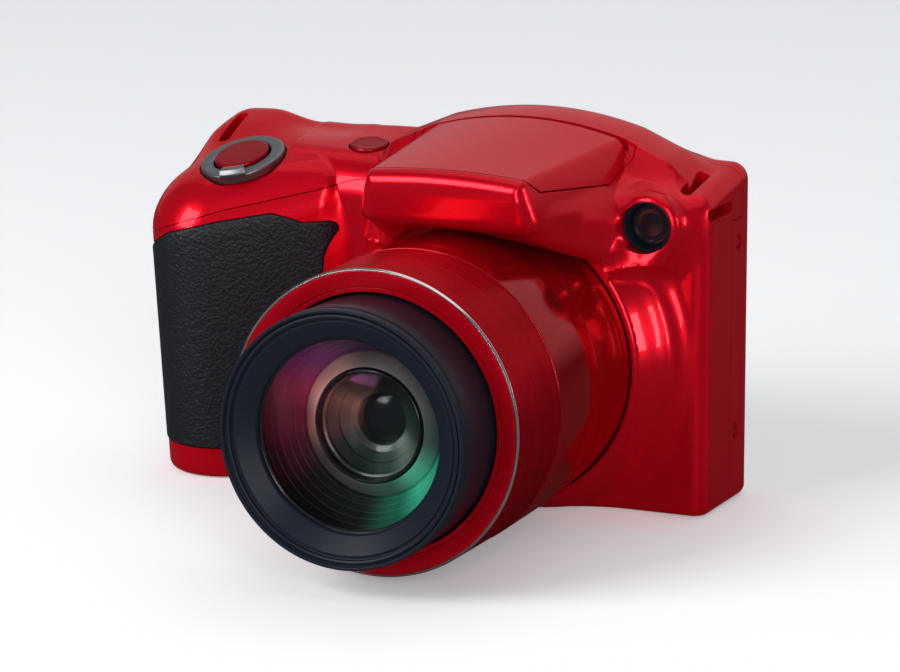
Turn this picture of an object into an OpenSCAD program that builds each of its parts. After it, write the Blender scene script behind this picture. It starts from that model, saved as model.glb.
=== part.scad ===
// Bridge camera: a moulded body with a side grip, a telescoping lens and a lift-up flash.
// Millimetres. The origin is the mouth of the tripod socket on the base, under the optical axis.
// +Z is up, the lens looks along -Y and the grip is on the -X side.

/* [Body] */
// Optical axis to the plain side
side_x = 34.8; // [33:0.1:38]
// Socket axis to the front face
body_front = 9.5; // [9:0.1:12]
// Socket axis to the rear face
body_back = 13.5; // [13:0.1:16]
// Height of the deck at its rear edge
deck_z = 61; // [60:0.1:63]
// Fall of the deck towards the front, rise over run
deck_fall = 0.185; // [0.15:0.005:0.2]
// Thickness of the moulded covers
wall = 2.2; // [2:0.1:2.6]
// Gap between covers at a seam
seam = 0.15; // [0.1:0.05:0.3]
// Running clearance round a moving piece
play = 0.3; // [0.3:0.05:0.4]
// Clearance round a seated piece
seat = 0.1; // [0.05:0.05:0.2]

/* [Grip] */
// Battery box to the outer side of the grip
grip_room = 8.35; // [8:0.05:10]
// Socket axis to the front of the grip
grip_front = 20.8; // [20:0.1:23]
// Plan radius of the front corner of the grip
grip_r = 10; // [8:0.1:10.5]
// How far the grip draws in at its foot
grip_taper = 2.5; // [1:0.1:3]
// Thickness of the grip rubber
rubber_t = 1.2; // [0.8:0.1:1.3]
// Height of the bare foot under the rubber
foot_z = 5.4; // [4:0.1:8]

/* [Flash hump] */
// Height of the crest behind the lid
hump_z = 68.6; // [67:0.1:70]
// Socket axis to the front of the nose
nose_front = 42; // [40:0.1:44]
// Half width of the nose
nose_half = 15; // [13:0.1:17]
// Socket axis to the rear edge of the lid
lid_back = 5.2; // [4.8:0.1:6]
// Gap behind the lid
lid_gap = 1.2; // [1.2:0.1:1.5]
// Thickness of the lid
lid_t = 1.3; // [1:0.1:1.6]
// Radius of the lid's hinge pin
lid_pin_r = 0.5; // [0.4:0.05:0.55]

/* [Lens] */
// Height of the optical axis
lens_z = 26.9; // [26.8:0.1:29]
// Outer radius of the brushed ring
ring_r = 25.75; // [25.5:0.05:26.3]
// Socket axis to the front of the brushed ring
ring_front = 69.3; // [68:0.1:72]
// Length of the brushed ring
ring_len = 17.3; // [14:0.1:20]
// Radius of the gloss barrel where it enters the collar
barrel_root_r = 24.5; // [24.4:0.05:24.8]
// Socket axis to the lip of the collar
collar_front = 18.4; // [16:0.1:20]
// Outer radius of the front barrel
front_r = 21.53; // [21:0.01:21.6]
// Socket axis to the front barrel's rim, lens at its widest view
front_rim = 82; // [80:0.1:84]
// Length of the front barrel
front_len = 52; // [48:0.1:53]
// Wall of the sliding barrels and the cam ring
tube_wall = 0.6; // [0.5:0.05:0.65]
// Length of the middle barrel
middle_len = 48; // [44:0.1:54]
// Radius of the front element
element_r = 17.5; // [16:0.1:18.5]
// Turn of the cam ring per millimetre of middle barrel travel, degrees
cam_turn = 4.5; // [3:0.1:5]
// Middle barrel travel from rest to full reach
tele_travel = 20; // [16:0.5:21]
// Middle barrel travel from rest to drawn in
stow_travel = 6; // [4:0.5:6]

/* [Lamp] */
// Optical axis to the lamp axis
lamp_x = 25.6; // [25:0.1:26.5]
// Height of the lamp axis
lamp_z = 51.3; // [51:0.1:52]
// Radius of the lamp window
lamp_r = 3.6; // [3:0.1:4]

/* [Controls] */
// Outer radius of the zoom lever
lever_r = 7.65; // [7:0.05:8]
// Radius of the shutter button
shutter_r = 4.9; // [4.5:0.05:5.2]
// Travel of the shutter button
shutter_travel = 1; // [0.6:0.1:1.2]
// Radius of the power button
power_r = 3.35; // [3:0.05:3.6]
// Travel of the power and rear buttons
button_travel = 0.5; // [0.3:0.1:0.6]
// Radius of the four-way pad
pad_r = 9.2; // [8.5:0.1:9.6]
// Radius of the set button
set_r = 4.2; // [3.5:0.1:4.6]
// Radius of the small rear buttons
key_r = 2.7; // [2.4:0.1:3]

/* [Display] */
// Width of the display window
window_w = 65; // [62:0.5:66]
// Height of the display window
window_h = 49; // [46:0.5:49.5]
// Thickness of the display window
window_t = 1.1; // [0.8:0.1:1.3]

/* [Battery and base] */
// Width of the battery
battery_w = 34.2; // [32:0.1:39]
// Height of the battery
battery_h = 40.2; // [36:0.1:41]
// Thickness of the battery
battery_t = 5.2; // [4.6:0.1:5.6]
// Thickness of the battery door
door_t = 1.8; // [1.6:0.1:2]
// Radius of the door's hinge pin
door_pin_r = 0.6; // [0.5:0.05:0.7]
// Bore radius of the tripod socket, at the crests of its thread
socket_r = 2.6; // [2.5:0.05:2.8]
// Depth of the tripod socket
socket_depth = 5.5; // [4.5:0.1:6.5]

/* [Hidden] */
$fn = 64;

// Paint and material colours
candy_red = [0.62, 0.02, 0.06];
deep_red = [0.45, 0.01, 0.04];
soft_black = [0.07, 0.07, 0.08];
satin_black = [0.12, 0.13, 0.16];
bare_metal = [0.75, 0.76, 0.78];
gunmetal = [0.32, 0.33, 0.35];
dark_glass = [0.1, 0.08, 0.14];
board_green = [0.05, 0.28, 0.14];

// Thickness of the sections that hulls are drawn round, and how far cutters run past what they cut
skin = 0.3;
over = 1;

// The battery box stands beside the lens, and the grip is as wide as the box asks
box_t = 0.8;
box_gap = 0.25;
lens_room = 0.45;
battery_x = -barrel_root_r - lens_room - box_t - box_gap - battery_w / 2;
grip_x = grip_room + box_t + box_gap + battery_w / 2 - battery_x;

// Corner radii of the covers
side_front_r = 3;
side_back_r = 4;
base_edge_r = 1.6;
deck_edge_r = 3;
grip_edge_r = 4;
grip_back_r = 7;
grip_inner_r = 5;

// Where the grip ends and the deck ends at the hump
grip_inner_x = 38;
hump_side_x = 21.5;

// The deck is a plane that falls to the front and a little to the plain side
deck_point = [-34, body_back - 2.5, deck_z];
deck_slope = [-0.023, deck_fall];

// The grip's top is a steeper plane through the shutter button's centre
shutter_point = [-grip_x + 16.1, -grip_front + 12.8, deck_z - 5.2];
shutter_slope = [0.128, 0.34];
// Turns that stand a round piece square on those planes
function tilt(slope) = [atan(slope[1]), -atan(slope[0]), 0];
function plane_z(point, slope, x, y) =
    point[2] + slope[0] * (x - point[0]) + slope[1] * (y - point[1]);

// Plan circles of the plain part of the body: x, y, radius
body_plan = [
    [side_x - side_front_r, side_front_r - body_front, side_front_r],
    [side_x - side_back_r, body_back - side_back_r, side_back_r],
    [-grip_inner_x, body_back - side_back_r, side_back_r],
    [-grip_inner_x, side_front_r - body_front, side_front_r]
];
// Plan circles of the grip at its widest and at its foot
grip_plan = [
    [grip_r - grip_x, grip_r - grip_front, grip_r],
    [grip_back_r + 5 - grip_x, body_back - grip_back_r, grip_back_r],
    [-grip_inner_x, body_back - side_back_r, side_back_r],
    [-grip_inner_x, grip_inner_r - body_front - 2.5, grip_inner_r]
];
grip_foot_plan = [
    [grip_r - grip_x + grip_taper, grip_r - grip_front + 2, grip_r - 0.5],
    [grip_back_r + 5.5 - grip_x, body_back - grip_back_r, grip_back_r],
    [-grip_inner_x, body_back - side_back_r, side_back_r],
    [-grip_inner_x, grip_inner_r - body_front - 2, grip_inner_r]
];

// Sections of the flash hump from the nose back to the lid's edge, then of the band behind it:
// y, half width of the crown, crown height, fall of the crown, half width and height of the shoulder, underside
nose_z = hump_z - 6;
lid_sections = [
    [-nose_front, nose_half - 2.4, nose_z - 1.8, 0.5, nose_half - 1.4, nose_z - 4.1, nose_z - 6.6],
    [1 - nose_front, nose_half - 1.6, nose_z - 0.7, 0.6, nose_half - 0.2, nose_z - 3.3, nose_z - 8],
    [4 - nose_front, nose_half - 1.3, nose_z, 0.8, nose_half + 0.4, nose_z - 3.2, nose_z - 9.6],
    [0.2 - lid_back, nose_half + 2.3, hump_z - 1.7, 3, nose_half + 4.4, nose_z - 4.6, nose_z - 12.6]
];
band_sections = [
    [lid_gap - lid_back - 0.5, nose_half + 2.6, hump_z - 0.6, 3.2, nose_half + 11.5, nose_z - 3.6, nose_z - 12.6],
    [0, nose_half + 3, hump_z, 3.6, nose_half + 12.5, nose_z - 3.8, nose_z - 12.6],
    [6, nose_half + 2.5, hump_z - 2, 3.4, nose_half + 12.5, nose_z - 3.8, nose_z - 12.6],
    [10.5, nose_half + 1, hump_z - 5.4, 2.5, nose_half + 11, nose_z - 4.1, nose_z - 12.6],
    [body_back - 0.6, nose_half - 1, hump_z - 9.2, 1.5, nose_half + 9, nose_z - 5.6, nose_z - 12.6]
];
// The lid's inside runs out through its rear edge and stops short of the nose
lid_inside = [for (s = lid_sections) concat([s[0] + (s[0] < 2 - nose_front ? lid_t : 0.4)], [for (k = [1 : 6]) s[k]])];
// Sections of the hood that joins the nose to the collar: y, half width, underside, top; and its fall to the sides
hood_fall = 0.25;
hood_sections = [
    [1.5 - nose_front, nose_half - 1.4, nose_z - 9, nose_z - 5],
    [6 - nose_front, nose_half, nose_z - 10.6, nose_z - 4],
    [-collar_front - 1.6, nose_half + 5, nose_z - 16, nose_z - 3.8],
    [-body_front, nose_half + 12, nose_z - 22, nose_z - 4.6]
];

// Seams: the rear cover's front edge, its place on the grip side, its jog at the shoulder, the top cover's edge
seam_y = 2.4;
seam_side_y = -5;
seam_jog_y = 7.5;
seam_jog_z = 50;
seam_deck_z = deck_z - 5.5;
seam_line = [[-grip_x - 10, deck_z - 20], [-grip_x + 2.5, deck_z - 17.6], [-52, deck_z - 12.7],
    [-42, deck_z - 10.2], [-31, deck_z - 6.6]];

// The lens from the outside in, each tube a running clearance inside the last
fixed_bore_r = barrel_root_r - 0.75;
cam_r = fixed_bore_r - play;
middle_r = cam_r - tube_wall - play;
front_bore_r = front_r - 0.83;
face_bore_r = middle_r + play;
barrel_front = ring_front - ring_len - seam;
middle_front = ring_front - 0.9;
middle_back = middle_front - middle_len;
front_back = front_rim - front_len;
cam_front = ring_front - 1.8;
cam_back = middle_back - stow_travel - 0.6;
spigot_front = cam_back - 0.4;
spigot_len = 4.4;
barrel_back = spigot_front - spigot_len;
base_spigot_r = fixed_bore_r - seat;
base_rear = 4.5;
follower_r = 0.8;
follower_y = middle_back + 4;
collar_bore_r = barrel_root_r + play;
hood_bore_r = ring_r + 0.9;
collar_root_r = 29.6;

// The flash well: its floor clears the lens, and its front wall is as thick as the covers
well_z = lens_z + hood_bore_r + 1.2;
well_sections = [for (i = [1 : 3])
    concat([lid_sections[i][0] + (i == 1 ? wall - 1 : 0)], [for (k = [1 : 6]) lid_sections[i][k]])];

// Depths behind the lens, each layer clear of the last
sensor_t = 1.7;
layer_gap = 0.3;
chassis_y = base_rear + layer_gap + sensor_t + layer_gap;
chassis_t = 1;
board_y = chassis_y + chassis_t + layer_gap;
board_t = 1;
panel_y = board_y + board_t + layer_gap;
window_y = body_back - window_t + 0.1;
panel_t = window_y - layer_gap - panel_y;
window_x = -2;
window_z = 4.6 + window_h / 2;

// Rear controls: x and z
pad_place = [-52, 21];
play_place = [-56, 37.5];
help_place = [-46.5, 37.5];
menu_place = [-46.5, 6.6];
movie_place = [-43.5, 49.5];
key_proud = 0.7;
pad_proud = 0.9;
key_len = 3.4;

// Battery, its box and its door
battery_y = -3.2;
battery_z = door_t + 2.4;
door_x0 = battery_x - battery_w / 2;
door_x1 = battery_x + battery_w / 2;
door_y0 = battery_y - battery_t / 2 - 3;
door_hinge_y = battery_y + battery_t / 2 + 8;
door_pin_end = 1.2;
door_hinge_z = door_t / 2 + 0.25;
door_knuckle_r = door_t / 2 + 0.25;
card_w = 24;
card_h = 32;
card_t = 2.1;
card_y = battery_y + battery_t / 2 + box_t + 2 * box_gap + card_t / 2;

// Terminal flap on the grip side, in a frame that lies on the flat between the grip's two plan circles
flap_w = 9.5;
flap_h = 22;
flap_t = 1.3;
flap_z = 19.5;
flap_pin_r = 0.4;
flap_pin_end = 0.9;

// Lamp and power button places
lamp_front = body_front + 4.6;
power_place = [-32.3, -0.9];

// Flash hinge: the pin lies close under the crown near the lid's rear edge, between two lugs of the front cover
lid_hinge_y = -lid_back - 2;
lid_hinge_z = hump_z - 4;
lid_knuckle_r = lid_pin_r + 0.5;
lid_knuckle_half = 2.5;
lid_lug_half = 4.8;
flash_front = nose_front - 4.6;
flash_half = nose_half - 4.5;

// Strap slots: width, and how far the bar stands from the corner
slot_w = 2.6;
slot_len = 11;

// A post with a rounded lower edge; a block is drawn round a post at each corner of its foot and of its sloping head
module post(r, edge_r) {
    turn = 30;
    e = min(edge_r, r - 0.2);
    rotate_extrude($fn = 40)
        polygon(concat([[0, e], [0, 0]], [for (a = [90 : -turn : 0]) [r - e * (1 - cos(a)), e * (1 - sin(a))]]));
}

module on_slope(point, slope) {
    lift = point[2] - slope[0] * point[0] - slope[1] * point[1];
    multmatrix([[1, 0, 0, 0], [0, 1, 0, 0], [slope[0], slope[1], 1, lift], [0, 0, 0, 1]])
        children();
}

module feet(plan, edge_r, inset) {
    for (c = plan)
        translate([c[0], c[1], inset])
            post(c[2] - inset, max(edge_r - inset, 0.3));
}

module heads(plan, edge_r, inset) {
    for (c = plan)
        translate([c[0], c[1], -inset])
            mirror([0, 0, 1])
                post(c[2] - inset, max(edge_r - inset, 0.3));
}

module body_block(inset) {
    hull() {
        feet(body_plan, base_edge_r, inset);
        on_slope(deck_point, deck_slope)
            heads(body_plan, deck_edge_r, inset);
    }
}

// The grip's outer corners end in its own sloping top, and its inner ones just proud of the deck
module grip_block(inset) {
    proud = 0.04;
    hull() {
        feet(grip_foot_plan, base_edge_r, inset);
        on_slope(shutter_point, shutter_slope)
            heads([grip_plan[0], grip_plan[1]], grip_edge_r, inset);
        on_slope(deck_point, deck_slope)
            translate([0, 0, proud])
                heads([grip_plan[2], grip_plan[3]], grip_edge_r, inset);
    }
}

// One crowned section of the hump
module hump_section(s, inset, floor_z) {
    half = s[1] - inset;
    low_half = s[4] - inset;
    bottom = max(s[6] + inset, floor_z);
    crown = [for (t = [-1 : 0.2 : 1]) [half * t, s[2] - inset - s[3] * t * t]];
    translate([0, s[0] + skin, 0])
        rotate([90, 0, 0])
            linear_extrude(height = skin)
                polygon(concat([[-low_half, bottom], [-low_half, s[5] - inset]], crown,
                    [[low_half, s[5] - inset], [low_half, bottom]]));
}

module hump_chain(sections, inset, floor_z) {
    for (i = [0 : len(sections) - 2])
        hull() {
            hump_section(sections[i], inset, floor_z);
            hump_section(sections[i + 1], inset, floor_z);
        }
}

// One section of the hood: its top falls away beside the nose
module hood_section(s) {
    r = 2.4;
    crown_half = min(s[1], nose_half + 1);
    shoulder_z = s[3] - hood_fall * (s[1] - crown_half);
    translate([0, s[0] + skin, 0])
        rotate([90, 0, 0])
            linear_extrude(height = skin)
                hull()
                    for (x = [-1, 1], p = [[s[1], s[2] + r], [s[1], shoulder_z - r], [crown_half, s[3] - r]])
                        translate([x * (p[0] - r), p[1]])
                            circle(r = r, $fn = 24);
}

module hood() {
    for (i = [0 : len(hood_sections) - 2])
        hull() {
            hood_section(hood_sections[i]);
            hood_section(hood_sections[i + 1]);
        }
}

// Turns a shape drawn upright so that it stands along the optical axis, looking forward
module along_lens() {
    translate([0, 0, lens_z])
        rotate([90, 0, 0])
            children();
}

module tube(r, bore, from, to) {
    along_lens()
        translate([0, 0, from])
            difference() {
                cylinder(r = r, h = to - from);
                translate([0, 0, -over])
                    cylinder(r = bore, h = to - from + 2 * over);
            }
}

module disc(r, from, to) {
    along_lens()
        translate([0, 0, from])
            cylinder(r = r, h = to - from);
}

// The flared collar round the lens, cut level with the base
module collar() {
    intersection() {
        along_lens()
            rotate_extrude($fn = 96)
                polygon([[0, 1], [collar_root_r, 1], [collar_root_r, body_front + 0.4],
                    [collar_root_r - 0.5, body_front + 2.3], [collar_root_r - 1.4, body_front + 4.7],
                    [collar_root_r - 2.8, collar_front - 1.6], [collar_bore_r + 1.1, collar_front - 0.2],
                    [collar_bore_r + 0.6, collar_front], [collar_bore_r - 1, collar_front - 0.5], [0, collar_front - 0.5]]);
        translate([-2 * collar_root_r, -2 * collar_front, 0.12])
            cube([4 * collar_root_r, 4 * collar_front, 4 * collar_root_r]);
    }
}

// The nacelle that carries the lamp
module nacelle() {
    hull() {
        translate([lamp_x, -lamp_front, lamp_z])
            rotate([90, 0, 0])
                cylinder(r = lamp_r + 1.5, h = skin);
        translate([lamp_x, -body_front + 1, lamp_z - 0.5])
            rotate([90, 0, 0])
                cylinder(r = lamp_r + 3, h = skin);
    }
}

// The whole outside, the hollow inside it and the shell between them
module body_form() {
    difference() {
        union() {
            body_block(0);
            grip_block(0);
            hump_chain(lid_sections, 0, 0);
            hump_chain(band_sections, 0, 0);
            hood();
            collar();
            nacelle();
        }
        disc(collar_bore_r, 0, collar_front + over);
        disc(hood_bore_r, collar_front + 0.2, nose_front + over);
    }
}

module body_hollow() {
    body_block(wall);
    grip_block(wall);
    hump_chain(well_sections, wall, well_z);
    hump_chain([for (i = [1 : 3]) band_sections[i]], wall, 0);
    translate([-nose_half - 1.7, -lid_back - 6, well_z - 0.1])
        cube([2 * nose_half + 3.4, lid_back + 8.5, 3.4]);
}

module shell() {
    difference() {
        body_form();
        difference() {
            body_hollow();
            strap_blocks();
        }
    }
}

// Solid corners behind the strap slots
module strap_blocks() {
    translate([side_x - 8, -body_front, seam_jog_z - 1.5])
        cube([10, body_front + 5.6, 20]);
    translate([-grip_x, -4.2, seam_jog_z - 1])
        cube([11.6, 14, 20]);
}

// The two lugs that hold the lid's pin stand out from the bulkhead behind the lid
module lid_lugs() {
    width = lid_lug_half - lid_knuckle_half - play;
    foot_top = -3.4;
    foot_low = -5.1;
    foot_back = lid_gap - lid_back + 0.8 - lid_hinge_y;
    for (x = [-lid_lug_half, lid_lug_half - width])
        translate([x, lid_hinge_y, lid_hinge_z])
            rotate([90, 0, 90])
                linear_extrude(height = width)
                    difference() {
                        union() {
                            circle(r = lid_knuckle_r, $fn = 32);
                            polygon([[-lid_knuckle_r, 0], [lid_knuckle_r, 0], [lid_knuckle_r, foot_top],
                                [foot_back, foot_top], [foot_back, foot_low], [lid_knuckle_r, foot_low],
                                [-lid_knuckle_r, foot_top]]);
                        }
                        circle(r = lid_pin_r + seat, $fn = 32);
                    }
}

// The space of the rear cover and of the top cover, each grown by a gap
module rear_space(gap) {
    reach = 2 * grip_x;
    translate([0, 0, -over])
        linear_extrude(height = seam_jog_z + over + gap)
            polygon([[reach, seam_y - gap], [-grip_x + 20, seam_y - gap], [-grip_x, seam_side_y - gap],
                [-reach, seam_side_y - gap], [-reach, reach], [reach, reach]]);
    translate([-hump_side_x, seam_jog_y - gap, seam_jog_z - over])
        cube([reach, reach, deck_z]);
    translate([-reach, seam_y - gap, seam_jog_z - over])
        cube([reach - hump_side_x + skin, reach, seam_deck_z - seam_jog_z + over]);
}

module top_space(gap) {
    reach = 2 * grip_x;
    inner = gap - hump_side_x;
    edge = [for (p = seam_line) [p[0], p[1] - gap]];
    difference() {
        translate([0, reach, 0])
            rotate([90, 0, 0])
                linear_extrude(height = 2 * reach)
                    polygon(concat([[-reach, edge[0][1]]], edge,
                        [[inner, seam_deck_z - 0.4 - gap], [inner, reach], [-reach, reach]]));
        translate([-31 + gap, -body_front - gap - reach, 0])
            cube([reach, reach, reach]);
        translate([-reach - over, seam_y + gap, 0])
            cube([2 * reach, reach, seam_deck_z - gap]);
    }
}

// The part of the grip that the rubber covers, as a front view
module rubber_space(gap) {
    top = [for (p = seam_line) p[1] - 2.4];
    difference() {
        translate([0, seam_side_y - 0.8 + gap, 0])
            rotate([90, 0, 0])
                linear_extrude(height = grip_front + over)
                    polygon([[-grip_x - over, foot_z - gap], [2 - grip_inner_x + gap, foot_z - gap],
                        [1.6 - grip_inner_x + gap, 40], [3.4 - grip_inner_x + gap, 43],
                        [4.4 - grip_inner_x + gap, 45.6], [3.2 - grip_inner_x, 46.8 + gap],
                        [-2 - grip_inner_x, 46.6 + gap], [-6.5 - grip_inner_x, top[3] - 0.6 + gap],
                        [-52, top[2] + 0.7 + gap], [-62, top[1] + 3 + gap], [-grip_x + 2.4, top[1] + gap],
                        [-grip_x - over, top[1] - 1 + gap]]);
        translate([-grip_inner_x - 2, 0.9 - body_front + gap, 0])
            cube([grip_inner_x, body_front, deck_z]);
    }
}

// The space above the lid's edge, seen from the side, back to the given place
module lid_space(gap, back) {
    half = 3 * nose_half;
    translate([-half, 0, 0])
        rotate([90, 0, 90])
            linear_extrude(height = 2 * half)
                polygon([[0.5 - nose_front - gap, nose_z - 0.9 - gap], [4.2 - nose_front - gap, nose_z - 3 - gap],
                    [-14, nose_z - 4.4 - gap], [-lid_back - 2.4, nose_z - 2.4 - gap],
                    [back, nose_z - gap], [back, 2 * hump_z],
                    [0.5 - nose_front - gap, 2 * hump_z]]);
}

// A slot through the shoulder corner, from the top to the side, that leaves a bar for a strap
module strap_slots() {
    depth = 5.2;
    shoulder_z = plane_z(deck_point, deck_slope, side_x - depth, 0);
    hull()
        for (y = [-1, 1])
            translate([side_x - depth, y * (slot_len - slot_w) / 2 - 3, shoulder_z - depth])
                cylinder(r = slot_w / 2, h = 2 * depth, $fn = 24);
    hull()
        for (y = [-1, 1])
            translate([side_x - depth, y * (slot_len - slot_w) / 2 - 3, shoulder_z - depth])
                rotate([0, 90, 0])
                    cylinder(r = slot_w / 2, h = 2 * depth, $fn = 24);
}

module grip_strap_slots() {
    depth = 5.4;
    middle = [shutter_point[0] - 7.5, 3.5];
    z = plane_z(shutter_point, shutter_slope, middle[0], middle[1]) - depth;
    for (turn = [0, -90])
        hull()
            for (y = [-1, 1])
                translate([middle[0], middle[1] + y * (slot_len - slot_w - 1) / 2, z])
                    rotate([0, turn, 0])
                        cylinder(r = slot_w / 2, h = 2.4 * depth, $fn = 24);
}

// Frames for the pieces that stand on the sloping tops
module at_shutter() {
    translate(shutter_point)
        rotate(tilt(shutter_slope))
            children();
}

module at_power() {
    translate([power_place[0], power_place[1],
            plane_z(deck_point, deck_slope, power_place[0], power_place[1])])
        rotate(tilt(deck_slope))
            children();
}

// A frame on the rear face, looking back
module at_rear(place, y) {
    translate([place[0], y, place[1]])
        rotate([-90, 0, 0])
            children();
}

module side_screw_places() {
    for (p = [[5.6, 45.9], [4.9, 12.5]])
        translate([side_x, p[0], p[1]])
            rotate([0, 90, 0])
                children();
}

module base_screw_places() {
    for (p = [[27, 10.3], [19, -5], [-22, 10.3]])
        translate([p[0], p[1], 0])
            mirror([0, 0, 1])
                children();
}

screw_head_r = 1.25;
screw_shank_r = 0.7;
screw_sink = 0.5;
screw_head_t = 0.9;
screw_len = 3.4;

module screw() {
    translate([0, 0, -screw_sink - screw_head_t])
        cylinder(r = screw_head_r, h = screw_head_t);
    translate([0, 0, -screw_sink - screw_len])
        cylinder(r = screw_shank_r, h = screw_len);
}

module screw_hole() {
    translate([0, 0, -screw_sink - screw_head_t - seat])
        cylinder(r = screw_head_r + seat, h = screw_sink + screw_head_t + seat + over, $fn = 24);
    translate([0, 0, -screw_sink - screw_len - over])
        cylinder(r = screw_shank_r + seat, h = screw_len + over, $fn = 24);
}

// What is cut through the base: the tripod socket and the battery door
socket_flange_r = 5.6;
socket_flange_t = 1.4;
module base_openings() {
    translate([0, 0, -over])
        cylinder(r = socket_flange_r + play, h = wall + 2 * over);
    translate([door_x0 - play, door_y0 - play, -over])
        cube([door_x1 - door_x0 + 2 * play, door_hinge_y - door_y0 + play, wall + 2 * over]);
    translate([door_x0 - play, door_hinge_y, door_hinge_z])
        rotate([0, 90, 0])
            cylinder(r = door_knuckle_r + play, h = door_x1 - door_x0 + 2 * play);
    translate([door_x0 - play, door_hinge_y - door_knuckle_r - play, -over])
        cube([door_x1 - door_x0 + 2 * play, 2 * (door_knuckle_r + play) + 0.4, door_hinge_z + over]);
    translate([door_x0 - play - door_pin_end - seat, door_hinge_y, door_hinge_z])
        rotate([0, 90, 0])
            cylinder(r = door_pin_r + seat, h = door_x1 - door_x0 + 2 * (play + door_pin_end + seat), $fn = 32);
}

// Covers
module front_cover() {
    color(candy_red)
        union() {
            difference() {
                shell();
                rear_space(seam / 2);
                top_space(seam / 2);
                lid_space(play, lid_gap - lid_back);
                rubber_pocket();
                strap_slots();
                base_openings();
                base_screw_places() screw_hole();
                translate([lamp_x, -lamp_front - over, lamp_z])
                    rotate([-90, 0, 0])
                        cylinder(r = lamp_r + 0.7 + seat, h = 10);
            }
            lid_lugs();
        }
}

module rubber_pocket() {
    intersection() {
        difference() {
            grip_block(-over);
            grip_block(rubber_t + seat);
        }
        rubber_space(seat);
    }
}

module rear_cover() {
    color(candy_red)
        difference() {
            intersection() {
                shell();
                rear_space(-seam / 2);
            }
            top_space(seam / 2);
            base_openings();
            base_screw_places() screw_hole();
            side_screw_places() screw_hole();
            translate([window_x - window_w / 2 - seat, panel_y - over, window_z - window_h / 2 - seat])
                cube([window_w + 2 * seat, 10, window_h + 2 * seat]);
            at_rear(pad_place, panel_y) cylinder(r = pad_r + play, h = 10);
            for (p = [play_place, help_place, menu_place, movie_place])
                at_rear(p, panel_y) cylinder(r = key_r + play, h = 10);
            at_flap() flap_pocket();
            strap_slots();
        }
}

module top_cover() {
    color(candy_red)
        difference() {
            intersection() {
                shell();
                top_space(-seam / 2);
            }
            at_shutter() {
                translate([0, 0, -0.9 - play])
                    cylinder(r = lever_r + play, h = 10);
                translate([0, 0, -12])
                    cylinder(r = 2.2 + play, h = 20);
            }
            at_power() translate([0, 0, -6]) cylinder(r = power_r + play, h = 12);
            grip_strap_slots();
        }
}

module grip_rubber() {
    color(soft_black)
        intersection() {
            difference() {
                grip_block(-0.2);
                grip_block(rubber_t);
            }
            rubber_space(0);
            translate([-2 * grip_x, -2 * grip_x, 0])
                cube([2 * grip_x, 2 * grip_x, 2 * deck_z]);
        }
}

// Fixed part of the lens, cut away over the tripod socket
socket_room = 8;
module lens_base() {
    color(soft_black)
        difference() {
            union() {
                disc(base_spigot_r, -base_rear, spigot_front);
                disc(barrel_root_r, -base_rear + 2, barrel_back - seat);
            }
            disc(9.6, -base_rear + 3, cam_back);
            disc(8, -base_rear - over, 0);
            translate([-socket_room, -socket_room, -over])
                cube([2 * socket_room, socket_room + base_rear + over, socket_depth + 3]);
        }
}

module gloss_barrel() {
    color(candy_red)
        along_lens()
            rotate_extrude()
                polygon([[fixed_bore_r, barrel_back], [barrel_root_r, barrel_back],
                    [barrel_root_r, collar_front + 1], [barrel_root_r + 0.3, collar_front + 6],
                    [ring_r - 0.35, collar_front + 21], [ring_r + 0.1, barrel_front - 0.3],
                    [ring_r - 0.15, barrel_front], [fixed_bore_r, barrel_front]]);
}

face_t = 1.3;
face_r = ring_r - 0.85;
module brushed_ring() {
    back = ring_front - ring_len;
    color(deep_red)
        along_lens()
            rotate_extrude()
                polygon([[fixed_bore_r, back], [ring_r - 0.15, back], [ring_r, back + 0.15],
                    [ring_r, ring_front - 0.6], [ring_r - 0.5, ring_front], [face_r + seat, ring_front],
                    [face_r + seat, ring_front - face_t - seat], [fixed_bore_r, ring_front - face_t - seat]]);
}

module face_ring() {
    color(candy_red)
        tube(face_r, face_bore_r, ring_front - face_t, ring_front - 0.1);
}

// The cam ring has three helical slots that drive the middle barrel's followers
slot_steps = 44;
module cam_ring() {
    width = 2 * (follower_r + play);
    reach = stow_travel + tele_travel;
    color(bare_metal)
        difference() {
            tube(cam_r, cam_r - tube_wall, cam_back, cam_front);
            for (k = [0 : 2], i = [0 : slot_steps]) {
                travel = -stow_travel + reach * i / slot_steps;
                along_lens()
                    rotate([0, 0, 120 * k - cam_turn * travel])
                        translate([cam_r - 2 * tube_wall, -width / 2, follower_y + travel - width / 2])
                            cube([4 * tube_wall, width, width]);
            }
        }
}

module middle_barrel() {
    color(soft_black)
        union() {
            tube(middle_r, middle_r - tube_wall, middle_back, middle_front);
            for (k = [0 : 2])
                along_lens()
                    rotate([0, 0, 120 * k])
                        translate([middle_r - tube_wall / 2, 0, follower_y])
                            rotate([0, 90, 0])
                                cylinder(r = follower_r, h = tube_wall / 2 + play + tube_wall * 0.8);
        }
}

// Moving front of the lens
module front_barrel() {
    color(satin_black)
        along_lens()
            rotate_extrude()
                polygon([[front_bore_r, front_back], [front_r - 0.25, front_back], [front_r - 0.25, front_rim - 5.4],
                    [front_r, front_rim - 5], [front_r, front_rim - 2.2], [front_r - 0.3, front_rim - 2],
                    [front_r - 0.3, front_rim - 1.6], [front_r, front_rim - 1.4], [front_r, front_rim - 0.3],
                    [front_r - 0.3, front_rim], [front_bore_r + 0.25, front_rim], [front_bore_r, front_rim - 0.25]]);
}

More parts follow.
